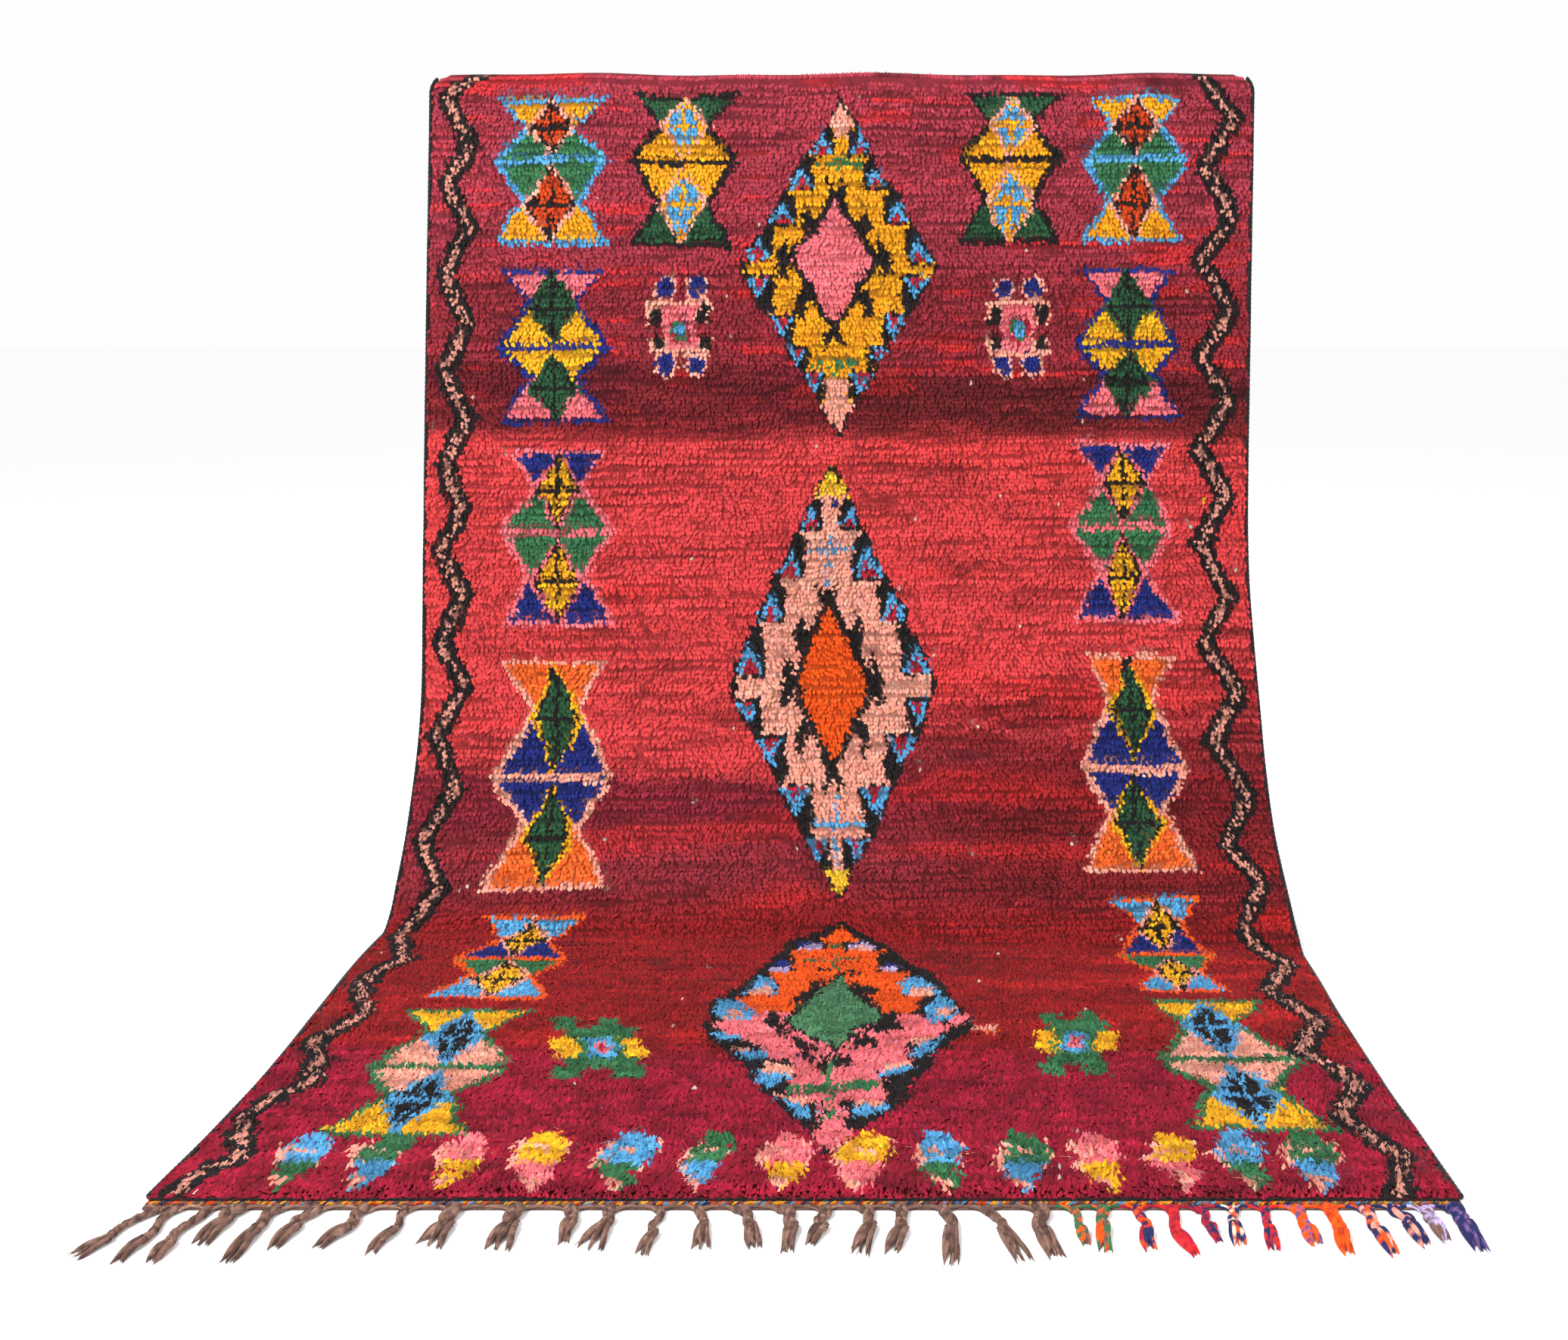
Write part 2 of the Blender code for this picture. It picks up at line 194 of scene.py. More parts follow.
def smooth(knots, values, at):
    """Values at places on the smooth curve through the knots."""
    knots, values = np.asarray(knots, float), np.asarray(values, float)
    tilts = slopes(knots, values)
    at = np.clip(at, knots[0], knots[-1])
    i = np.clip(np.searchsorted(knots, at, side="right") - 1, 0, len(knots) - 2)
    step = knots[i + 1] - knots[i]
    t = (at - knots[i]) / step
    return (
        (1 + 2 * t) * (1 - t) ** 2 * values[i]
        + t * (1 - t) ** 2 * step * tilts[i]
        + t * t * (3 - 2 * t) * values[i + 1]
        + t * t * (t - 1) * step * tilts[i + 1]
    )


def ease(value):
    value = np.clip(value, 0, 1)
    return value * value * (3 - 2 * value)


def field(seed, x, y, wide, high):
    """Smooth random field from -1 to 1 with cells of the given size."""
    rng = np.random.default_rng(SEED * 1000 + seed)
    lattice = rng.uniform(-1, 1, (FIELD_CELLS, FIELD_CELLS))
    u, v = np.asarray(x) / wide + FIELD_START[0], np.asarray(y) / high + FIELD_START[1]
    i, j = np.floor(u).astype(int), np.floor(v).astype(int)
    s, t = ease(u - i), ease(v - j)
    i0, i1, j0, j1 = (n % FIELD_CELLS for n in (i, i + 1, j, j + 1))
    top = lattice[i0, j0] * (1 - s) + lattice[i1, j0] * s
    low = lattice[i0, j1] * (1 - s) + lattice[i1, j1] * s
    return top * (1 - t) + low * t


# The cloth's surface


class Cloth:
    """The draped cloth: a point for each place across (-1 to 1) and part of the way down (0 to 1)."""

    LINES = 25
    STEPS = 1400
    CURVE_POINTS = 4001

    def __init__(self):
        self.across = np.linspace(-1, 1, self.LINES)
        self.forward = np.zeros((self.LINES, self.STEPS + 1))
        self.height = np.zeros((self.LINES, self.STEPS + 1))
        self.lengths = np.zeros(self.LINES)
        for n, across in enumerate(self.across):
            share = (across + 1) / 2
            points = [(left + (right - left) * share, z) for z, left, right in SECTIONS]
            landing = points[-1][0]
            points += [(landing + (REACH - landing) * part, PILE / 2) for part in (0.3, 1.0)]
            points = np.array(points)
            knots = np.concatenate([[0], np.cumsum(np.hypot(*np.diff(points, axis=0).T))])
            at = np.linspace(0, knots[-1], self.CURVE_POINTS)
            y, z = smooth(knots, points[:, 0], at), smooth(knots, points[:, 1], at)
            down = np.concatenate([[0], np.cumsum(np.hypot(np.diff(y), np.diff(z)))])
            even = np.linspace(0, down[-1], self.STEPS + 1)
            self.lengths[n] = down[-1]
            self.forward[n] = np.interp(even, down, y)
            self.height[n] = np.interp(even, down, z)
        low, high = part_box("end_band")
        ends = self.side(np.array([-1.0, 1.0]), self.length(np.array([-1.0, 1.0])))
        self.shift = np.array([(low[0] + high[0]) / 2 - ends.mean(), high[1] + REACH + GAP, 0])

    def length(self, across):
        return np.interp(across, self.across, self.lengths)

    def side(self, across, down):
        """Distance of a place to the right of the middle line."""
        knots = [row[0] for row in SIDES]
        left = smooth(knots, [row[1] for row in SIDES], down)
        right = smooth(knots, [row[2] for row in SIDES], down)
        inset = CORNER - np.sqrt(np.maximum(CORNER**2 - np.maximum(CORNER - down, 0) ** 2, 0))
        return across * (WIDTH / 2 - inset) + left + (right - left) * (across + 1) / 2

    def lookup(self, table, across, part):
        a = np.clip((across + 1) / 2 * (self.LINES - 1), 0, self.LINES - 1 - 1e-9)
        p = np.clip(part * self.STEPS, 0, self.STEPS - 1e-9)
        i, j = a.astype(int), p.astype(int)
        u, v = a - i, p - j
        first = table[i, j] * (1 - u) + table[i + 1, j] * u
        second = table[i, j + 1] * (1 - u) + table[i + 1, j + 1] * u
        return first * (1 - v) + second * v

    def middle(self, across, part):
        across, part = np.broadcast_arrays(np.asarray(across, float), np.asarray(part, float))
        down = part * self.length(across)
        x = self.side(across, down)
        hang = ease(down / 0.5) * (1 - ease((down - 1.0) / 0.6))
        swell = np.sin(2.1 * x + 3.3 * down + 0.6) + 0.6 * np.sin(5.2 * x - 2.4 * down)
        forward = self.lookup(self.forward, across, part) + BILLOW * swell * hang
        wave = np.sin(9.6 * x + 0.9) + 0.5 * np.sin(21.0 * x)
        height = self.lookup(self.height, across, part) + TOP_WAVE * wave * (1 - ease(down / 0.35))
        return np.stack([x, -forward, height], -1)

    def frames(self, across, part):
        """Points of the middle with the unit directions down the cloth, to the right and out of it."""
        step, stride = 0.002, 0.02
        below, above = np.minimum(part + step, 1), np.maximum(part - step, 0)
        along = self.middle(across, below) - self.middle(across, above)
        right, left = np.minimum(across + stride, 1), np.maximum(across - stride, -1)
        aside = self.middle(right, part) - self.middle(left, part)
        out = unit(np.cross(along, aside))
        down = unit(along)
        return self.middle(across, part) + self.shift, down, unit(np.cross(out, down)), out


def unit(vectors):
    return vectors / np.maximum(np.linalg.norm(vectors, axis=-1, keepdims=True), 1e-12)


# Yarn colours, as screen values from 0 to 255
DYES = {
    "yellow": (255, 176, 30),
    "gold": (252, 162, 26),
    "lemon": (255, 196, 50),
    "tangerine": (255, 104, 40),
    "pink": (255, 116, 126),
    "salmon": (252, 162, 142),
    "sand": (212, 142, 126),
    "orange": (250, 87, 22),
    "rust": (200, 66, 22),
    "green": (56, 114, 74),
    "leaf": (76, 128, 90),
    "dark_green": (42, 84, 55),
    "light_blue": (84, 160, 212),
    "royal_blue": (31, 42, 118),
    "lilac": (186, 166, 214),
    "black": (33, 28, 30),
    "red": (176, 34, 54),
    "rose": (170, 56, 72),
    "wine": (146, 42, 54),
    "brick": (226, 69, 72),
    "scarlet": (226, 44, 38),
    "maroon": (86, 22, 28),
    "plum": (142, 35, 52),
    "oxblood": (134, 28, 35),
    "blood": (149, 25, 30),
    "raspberry": (157, 23, 51),
    "brown": (118, 88, 78),
    "taupe": (138, 106, 94),
    "umber": (88, 65, 58),
    "navy": (40, 44, 92),
    "cream": (236, 214, 196),
    "purple": (110, 84, 140),
}


def linear(colours):
    colours = np.asarray(colours, float) / 255
    return np.where(colours <= 0.04045, colours / 12.92, ((colours + 0.055) / 1.055) ** 2.4)


DYE_NAMES = list(DYES)
DYE_VALUES = linear([DYES[name] for name in DYE_NAMES])
NUMBER = {name: i for i, name in enumerate(DYE_NAMES)}


def dye(name):
    return DYE_VALUES[NUMBER[name]]


# The chart of the knots' yarns

# Height of a row of knots on the wall, in centimetres, as the motifs' lines use it
KNOT_ROW = 1.05


class Chart:
    """The yarn of each knot. Shapes are painted over one another, in centimetres."""

    def __init__(self, x, down):
        rng = np.random.default_rng(SEED)
        wander_x = 0.45 * field(1, x, down, 7, 6) + rng.normal(0, 0.13, x.shape)
        wander_s = 0.45 * field(2, x, down, 7, 6) + rng.normal(0, 0.16, x.shape)
        self.x, self.s = x + wander_x, down + wander_s
        self.yarn = np.full(x.shape, -1)

    def window(self, points, margin=0.0):
        points = np.asarray(points, float)
        low, high = points.min(0) - margin, points.max(0) + margin
        inside = (self.x > low[0]) & (self.x < high[0]) & (self.s > low[1]) & (self.s < high[1])
        return np.nonzero(inside)

    def fill(self, points, name):
        spot = self.window(points)
        x, s = self.x[spot], self.s[spot]
        inside = np.zeros(x.shape, bool)
        for (x0, s0), (x1, s1) in zip(points, [*points[1:], points[0]]):
            if s0 == s1:
                continue
            crosses = (s0 > s) != (s1 > s)
            inside ^= crosses & (x < x0 + (x1 - x0) * (s - s0) / (s1 - s0))
        self.yarn[spot[0][inside], spot[1][inside]] = NUMBER[name]

    def stroke(self, points, wide, name, closed=False, share=1.0, seed=0):
        """A line of knots, or with a share below 1 a broken line."""
        spot = self.window(points, wide)
        x, s = self.x[spot], self.s[spot]
        near = np.full(x.shape, 1e9)
        ends = [*points[1:], points[0]] if closed else points[1:]
        for (x0, s0), (x1, s1) in zip(points, ends):
            run = max((x1 - x0) ** 2 + (s1 - s0) ** 2, 1e-9)
            t = np.clip(((x - x0) * (x1 - x0) + (s - s0) * (s1 - s0)) / run, 0, 1)
            near = np.minimum(near, np.hypot(x - x0 - t * (x1 - x0), s - s0 - t * (s1 - s0)))
        hit = near < wide / 2
        if share < 1:
            hit &= np.random.default_rng(SEED * 50 + seed).random(x.shape) < share
        self.yarn[spot[0][hit], spot[1][hit]] = NUMBER[name]

    def spot(self, x, s, wide, high, name):
        """A small round patch."""
        points = [
            (x + wide / 2 * math.cos(turn), s + high / 2 * math.sin(turn))
            for turn in np.linspace(0, 2 * math.pi, 9)[:-1]
        ]
        self.fill(points, name)


def slanted(top, bottom):
    """Places in a slanted patch: -1 to 1 across, 0 to 1 down. Its ends are (left, right, down)."""

    def at(u, v):
        left = top[0] + (bottom[0] - top[0]) * v
        right = top[1] + (bottom[1] - top[1]) * v
        return left + (right - left) * (u + 1) / 2, top[2] + (bottom[2] - top[2]) * v

    return at


def hourglass(chart, waist, dyes, top, bottom):
    """Two lozenges in a frame that is wide at its ends and at its waist.

    waist is the middle's place down the frame. dyes names the yarns of the line, the ends, the
    middle's upper and lower halves, the lozenges, their marks and their rims.
    """
    line, ends, upper, lower, lozenge, marks, rim = dyes.split()
    at = slanted(top, bottom)

    def fill(name, *places):
        chart.fill([at(u, v) for u, v in places], name)

    row = KNOT_ROW / (bottom[2] - top[2])
    neck, foot = 0.19, 0.72
    for hand in (-1, 1):
        edge = hand * 0.90
        fill(line, (0, 0), (hand, 0), (hand * 0.44, neck + 0.03), (0, neck + 0.06))
        hip = ((hand, waist - 0.035), (hand, waist + 0.04))
        fill(line, (0, neck), (hand * 0.44, neck), *hip, (hand * 0.5, foot), (0, foot))
        fill(line, (0, foot - 0.04), (hand * 0.5, foot - 0.02), (hand * 1.04, 1), (0, 1))
        fill(ends, (0, row), (hand * 0.86, row), (hand * 0.40, neck), (0, neck))
        fill(upper, (0, neck + 0.05), (hand * 0.40, neck + 0.05), (edge, waist - 0.02), (0, waist - 0.02))
        fill(lower, (0, waist + 0.02), (edge, waist + 0.02), (hand * 0.42, foot - 0.03), (0, foot - 0.03))
        fill(ends, (0, foot), (hand * 0.42, foot), (edge, 1 - row), (0, 1 - row))
    chart.stroke([at(-1.02, waist), at(1.0, waist)], 1.3, line)
    for start, end in ((0.0, waist - 0.01), (waist + 0.02, 1.0)):
        centre, half = (start + end) / 2, (end - start) / 2
        for name, wide, rows in ((rim, 0.49, 0), (marks, 0.38, 0.75), (lozenge, 0.33, 1.5)):
            inner = half - rows * row
            fill(name, (0, centre - inner), (wide, centre), (0, centre + inner), (-wide, centre))
        chart.stroke([at(-0.36, centre), at(0.36, centre)], 1.05, marks)
        chart.stroke([at(0, start + row), at(0, end - row)], 0.75, marks, share=0.85)


def medallion(chart, tips, steps, core, tip_dye, field_dye, core_dye):
    """Stepped diamond with small triangles along its edges and a hooked lozenge in its middle.

    tips are the top, right, bottom and left points. steps are the places of the field's steps
    above and below the middle. core gives the lozenge's top, right, bottom and left.
    """
    (top_x, top_s), (right_x, _), (bottom_x, bottom_s), (left_x, left_s) = tips
    half = (right_x - left_x) / 2
    centre = (right_x + left_x) / 2

    def at(u, v):
        tip = top_x if v < 0 else bottom_x
        deep = left_s - top_s if v < 0 else bottom_s - left_s
        return centre + (tip - centre) * abs(v) + u * half, left_s + v * deep

    def shape(*places):
        return [at(u, v) for u, v in places]

    def fill(name, *places):
        chart.fill(shape(*places), name)

    fill("black", (0, -1), (1, 0), (0, 1), (-1, 0))
    for side, places in zip((-1, 1), steps):
        first = side * places[0]
        wide = 1 - places[0] - 0.01
        fill(tip_dye, (0, side * 0.965), (wide, first), (-wide, first))
        for far, near in zip(places, places[1:]):
            start, end = side * far, side * near
            flare = 1 - far - 0.03
            inner = 1 - far - 0.095
            outer = 1 - near - 0.035
            tab = start + 0.16 * (end - start)
            base = end + side * 0.012
            apex = end + side * min(0.145, 0.78 * abs(end - start))
            heart = base + (apex - base) * 0.58
            left = inner + 0.02
            middle = (left + outer) / 2 - 0.01
            size = (outer - left) * 0.26
            for hand in (-1, 1):
                fill(
                    field_dye,
                    (0, start),
                    (hand * flare, start),
                    (hand * inner, tab),
                    (hand * inner, end),
                    (0, end),
                )
                fill("light_blue", (hand * left, base), (hand * outer, base), (hand * middle, apex))
                low, high = hand * (middle - size), hand * (middle + size)
                fill("red", (low, base), (high, base), (hand * middle, heart))
    high, low = steps[0][-1], steps[1][-1]
    wide = 1 - (high + low) / 2 - 0.03
    fill(field_dye, (-wide, -high), (wide, -high), (wide, low), (-wide, low))

    (_, core_top), (core_right, core_s), (_, core_bottom), (core_left, _) = core
    middle = (core_right + core_left) / 2
    spread = (core_right - core_left) / 2
    rise, fall = core_s - core_top, core_bottom - core_s

    def fill_core(name, *places):
        chart.fill([(middle + u * spread, core_s + v * (rise if v < 0 else fall)) for u, v in places], name)

    fill_core("black", (0, -1.20), (1.20, 0), (0, 1.14), (-1.20, 0))
    crown = ((-0.26, -1.27), (0, -1.14), (0.34, -1.27), (0.22, -1.02), (0, -0.9), (-0.18, -1.02))
    fill_core("black", *crown)
    hooks = (
        ((0.45, -0.62), (0.40, -0.70), (0.62, -0.66), (0.80, -0.86), (0.98, -0.52), (0.70, -0.38)),
        ((1.08, 0.02), (1.14, -0.12), (1.12, -0.40), (1.40, -0.20), (1.46, 0.22), (1.20, 0.30)),
        ((0.55, 0.50), (0.90, 0.42), (1.00, 0.74), (0.84, 0.92), (0.70, 0.64)),
        ((0, 1.0), (0.18, 1.06), (0.32, 1.36), (0.12, 1.24), (0, 1.16)),
    )
    for hook in hooks:
        for hand in (-1, 1):
            fill_core("black", *[(hand * u, v) for u, v in hook])
    fill_core(core_dye, (0, -0.98), (1, 0), (0, 0.97), (-1, 0))
    return shape


# The third diamond's shapes, painted in this order: the outline, the orange head, the pink body,
# the small triangles along its edges, the hooks and the green lozenge; in centimetres
FLOOR_DIAMOND = (
    (
        "black",
        (0.3, 184.8), (9.3, 190), (13.5, 197), (19.8, 207), (26.6, 225.6), (20.8, 235),
        (16.2, 245), (14.6, 252), (9.5, 257.5), (5, 262.5), (2.4, 268.4), (-0.8, 262.5),
        (-2.6, 260), (-6.8, 253.8), (-11.4, 246), (-16.4, 235.8), (-22.2, 226.8), (-19.4, 217),
        (-14.7, 206.3), (-10.8, 196), (-8.6, 190),
    ),
    (
        "orange",
        (0.6, 186), (5.5, 189.4), (2, 190), (2.2, 194.6), (-1.2, 194.6), (-1, 190), (-3.6, 189.4),
    ),
    (
        "orange",
        (-8.9, 194.3), (10.4, 194.3), (9.2, 198), (8.4, 203.8), (14.8, 203.8), (13.2, 212),
        (13.4, 214.6), (17.6, 214.6), (15.6, 221.6), (-13.4, 221.6), (-16, 214.8), (-9.8, 214.4),
        (-9.9, 211), (-11.8, 204.4), (-7, 204), (-7.2, 199),
    ),
    (
        "pink",
        (-20.6, 226.4), (-14.5, 221.6), (16, 221.6), (19.4, 225), (22, 226.4), (18.6, 230.4),
        (14.2, 232), (15, 239.4), (10.2, 241), (10, 249.6), (12.2, 249.8), (11, 252.4),
        (3.6, 252.6), (3.8, 260.4), (5.4, 260.8), (5, 264.4), (2.2, 267.2), (0.4, 264.4),
        (-0.7, 260.8), (0.4, 260.2), (0.2, 252.6), (-1.9, 252.4), (-4.7, 250), (-4.6, 240.8),
        (-9.5, 238.4), (-9.6, 235.2), (-14.6, 231.4),
    ),
    ("pink", (20.4, 222.8), (26, 221.8), (24.4, 226.4), (22.2, 226.8)),
    ("royal_blue", (-6.3, 189.6), (-3.8, 190.6), (-5, 193), (-7.6, 192.8)),
    ("lilac", (-5.4, 191.2), (-3.4, 190.8), (-1.8, 194.2), (-6.4, 194.4)),
    ("lilac", (3.8, 190.4), (6.4, 190), (8.6, 193), (2.8, 194)),
    ("salmon", (3.4, 192.6), (7.2, 192), (7.8, 194.4), (2.6, 194.6)),
    ("royal_blue", (-11.2, 201.4), (-9.8, 198.8), (-8, 201.4), (-8.4, 203), (-11.4, 202.8)),
    ("lilac", (-11.8, 204.4), (-11, 202.4), (-7.8, 202.4), (-7.2, 204.4)),
    ("royal_blue", (10.2, 199.4), (11.8, 199.2), (13.4, 202.2), (10, 202)),
    ("lilac", (9.2, 201.8), (13, 201.8), (12.8, 203.6), (9, 203.6)),
    ("light_blue", (-13.6, 206.8), (-11.4, 207.4), (-9.6, 214.2), (-16.4, 214.4), (-14.6, 210.6)),
    ("salmon", (-13.6, 210.6), (-11.4, 210.4), (-10.4, 214), (-14.8, 214.4)),
    (
        "light_blue",
        (14.6, 206.8), (17.2, 207.2), (19.4, 211.4), (20.4, 214.2), (13.2, 214.2), (13.6, 209.4),
    ),
    ("salmon", (15, 211.6), (18.4, 211.2), (18.4, 214.4), (14.2, 214.8)),
    (
        "light_blue",
        (-17.8, 216.4), (-16, 217.2), (-12.8, 221.4), (-13.2, 224.8), (-19.6, 224), (-19.2, 220),
    ),
    ("salmon", (-17.6, 221), (-15.4, 220.4), (-14.6, 223.6), (-18.4, 224.2)),
    (
        "light_blue",
        (19.8, 214.6), (21.6, 215.2), (23.4, 220.2), (22.6, 224), (19.4, 225.4), (17.4, 221.6),
    ),
    ("salmon", (20.2, 219.4), (22.6, 219.6), (23.2, 222.2), (19.6, 223)),
    ("light_blue", (-18.8, 229.4), (-14.2, 231.2), (-14.6, 233.2), (-17.6, 232)),
    ("salmon", (-15.4, 234.8), (-12.6, 234.8), (-11.8, 236.6), (-14, 237.2)),
    ("light_blue", (-14.8, 236.4), (-11.8, 236.4), (-9.6, 236.8), (-9.4, 239), (-13.2, 239)),
    ("salmon", (-10.6, 240.6), (-5, 240.8), (-5, 244), (-9.4, 243.8)),
    (
        "light_blue",
        (-11.2, 242.8), (-8.4, 243.8), (-5, 244), (-6.4, 246.8), (-8.2, 249.2), (-10.4, 246.4),
    ),
    ("salmon", (-7.2, 250.2), (-2, 251.4), (-2, 253.4), (-5.4, 253)),
    ("light_blue", (-6.4, 252), (-3, 253.2), (-1, 254.8), (-1.2, 259.4), (-3.6, 257), (-5, 254.2)),
    ("salmon", (14.2, 231.2), (19, 230.4), (19.2, 232.6), (15.4, 234.4)),
    ("light_blue", (19.4, 230.2), (19.8, 233.2), (16.8, 238), (14.8, 237.6), (16.6, 233.8)),
    ("salmon", (10, 240.6), (15, 239.4), (14.4, 242.4), (10.2, 243.6)),
    ("light_blue", (14.2, 240.8), (15.6, 241.6), (13, 244.6), (10.2, 244.8), (10.4, 243.2)),
    ("salmon", (6.4, 252.6), (11.4, 252.4), (9, 254.6), (6.2, 255.4)),
    ("light_blue", (4.2, 255.8), (8.2, 254), (11.8, 253), (10.6, 255.2), (7.6, 257.2), (4.4, 258)),
    ("black", (1.3, 204.4), (10.8, 222.8), (1.7, 236.8), (-7.8, 224.4)),
    (
        "black",
        (-5.5, 214.5), (-3.4, 208.6), (-1.4, 208.4), (-2.6, 213.5), (-4.6, 216.8), (-6.3, 218.5),
    ),
    (
        "black",
        (4.4, 208.4), (6, 208.4), (7.2, 211.2), (9.6, 210.8), (9.9, 213.4), (7.4, 214.2),
        (9.2, 218), (6.4, 215.4),
    ),
    (
        "black",
        (-10.6, 221.8), (-8.6, 221.4), (-7.8, 226), (-5.2, 229), (-8.4, 229.8), (-10.2, 226.4),
    ),
    (
        "black",
        (10, 221.6), (13.4, 220.6), (13, 224.2), (14, 228.4), (10.8, 227.6), (9.6, 230.4),
        (8, 229),
    ),
    (
        "black",
        (-6.4, 230.4), (-4.2, 231.2), (-1, 235.6), (-3, 236.2), (-1.8, 240.2), (-4.4, 238.2),
        (-5.2, 234.8),
    ),
    ("black", (5.2, 231.8), (7, 230.4), (9.2, 231.6), (9, 235), (7, 234), (4, 236.2)),
    ("black", (-1.2, 238.4), (0.8, 236.4), (1, 240.2), (0.4, 243.8), (-1.6, 243.8), (-0.6, 241)),
    ("black", (2, 236.4), (4.2, 238.4), (4.9, 241), (4.6, 243), (2.4, 241.2)),
    ("black", (-2.4, 202.2), (-0.8, 202.4), (-0.6, 204.8), (-1.8, 205)),
    ("black", (3, 203.8), (4.4, 203.4), (5, 206.6), (3.6, 206.8)),
    ("leaf", (1.3, 206.2), (9.8, 223), (1.7, 235.3), (-6.9, 224.5)),
)


def floor_medallion(chart):
    """The third diamond: orange above and pink below, with a wide head and a green lozenge."""
    for name, *points in FLOOR_DIAMOND:
        chart.fill(points, name)
    chart.spot(0.6, 192.0, 2.0, 2.4, "green")
    chart.stroke([(-5.2, 198.7), (6.0, 198.4)], 0.8, "green", share=0.85)
    chart.stroke([(1.2, 196.2), (1.3, 203.8)], 0.8, "green", share=0.8)
    chart.stroke([(-3.6, 249.0), (-0.4, 248.8)], 2.6, "green", share=0.85)
    chart.stroke([(1.6, 248.4), (8.0, 247.6)], 3.0, "green", share=0.95)
    chart.stroke([(1.5, 239.5), (1.7, 259.0)], 1.4, "green", share=0.7)


def tortoise(chart, left, right, top, bottom):
    """Small creature of the weaver's: four paws, a pink body and a bright heart."""

    def at(u, v):
        return (left + right) / 2 + u * (right - left) / 2, top + v * (bottom - top)

    deep = bottom - top
    for v in (0.13, 0.87):
        for u in (-0.46, 0.5):
            x, s = at(u, v)
            chart.spot(x, s, 5.4, 0.27 * deep, "salmon")
            chart.spot(x, s, 3.9, 0.20 * deep, "royal_blue")
    chart.fill([at(-1, 0.25), at(1, 0.25), at(1, 0.31), at(-1, 0.31)], "salmon")
    chart.fill([at(-1, 0.72), at(1, 0.72), at(1, 0.78), at(-1, 0.78)], "salmon")
    for u in (-0.72, 0.74):
        for v0, v1 in ((0.31, 0.48), (0.60, 0.71)):
            chart.fill([at(u - 0.26, v0), at(u + 0.26, v0), at(u + 0.26, v1), at(u - 0.26, v1)], "salmon")
            chart.fill([at(u - 0.15, v0), at(u + 0.2, v0), at(u + 0.2, v1), at(u - 0.15, v1)], "black")
    chart.fill([at(-0.5, 0.29), at(0.52, 0.29), at(0.5, 0.73), at(-0.48, 0.73)], "pink")
    x, s = at(0.02, 0.54)
    chart.spot(x, s, 4.6, 5.6, "red")
    chart.spot(x, s, 3.6, 4.4, "green")
    chart.spot(x, s, 2.6, 3.0, "light_blue")


def small_star(chart, top, bottom):
    """Loose green star with yellow sides. top and bottom are (left, right, down)."""
    at = slanted(top, bottom)

    def box(u0, u1, v0, v1, name):
        chart.fill([at(u0, v0), at(u1, v0), at(u1, v1), at(u0, v1)], name)

    box(-0.75, 0.75, 0.16, 0.86, "green")
    box(-1.0, -0.5, 0.02, 0.20, "green")
    box(0.0, 0.5, 0.0, 0.20, "green")
    box(-0.9, -0.3, 0.82, 1.0, "green")
    box(0.3, 0.95, 0.82, 1.0, "green")
    box(-1.0, -0.5, 0.34, 0.68, "yellow")
    box(0.5, 1.0, 0.34, 0.66, "yellow")
    box(-0.30, 0.32, 0.34, 0.68, "light_blue")
    box(-0.16, 0.18, 0.42, 0.60, "pink")
    box(-0.08, 0.1, 0.44, 0.56, "red")


def border_lozenge(chart, n, x, s, upper, lower):
    """One of the row of small lozenges along the end: a wide head over a pointed foot."""
    wide = (0.74, 0.80, 0.70, 0.84, 0.76, 0.68)[n % 6]
    lean = (0.5, -0.4, 0.2, -0.2)[n % 4]

    def near(*places):
        return [(x + wide * u + lean * v / 8, s + v) for u, v in places]

    chart.fill(near((-5.2, -2.6), (-3.4, -5.2), (3.8, -5.6), (5.2, -2.2), (4.0, 1.8), (-4.2, 2.2)), "salmon")
    chart.fill(near((-1.8, -7.8), (2.2, -7.4), (4.9, -2.8), (4.2, 0.6), (-3.6, 0.8), (-4.4, -2.8)), upper)
    chart.fill(near((-3.6, 0.6), (3.9, 0.4), (2.8, 5.0), (0.2, 8.2), (-2.4, 5.0)), lower)
    chart.fill(near((-2.6, 3.4), (-0.8, 4.8), (0.8, 5.0), (0.2, 7.9), (-1.6, 6.0)), "salmon")
    chart.stroke(near((-1.6, -3.0), (1.0, -2.4)), 1.3, "salmon", share=0.7, seed=n + 20)
    chart.stroke(near((-4.4, -4.6), (-3.4, 0.4)), 1.2, "salmon", share=0.6, seed=n + 60)


def zigzag(chart, hand, centre, swing, places):
    """Zigzag border along one side: a salmon line between black ones."""
    points = []
    for n, s in enumerate(places):
        points.append((centre + hand * (swing if n % 2 else -swing), s))
    chart.stroke([(x - 1.5, s) for x, s in points], 1.7, "black")
    chart.stroke([(x + 1.5, s) for x, s in points], 1.7, "black")
    chart.stroke(points, 1.5, "sand")
    chart.stroke(points, 1.3, "black", share=0.30, seed=int(centre) + 200)


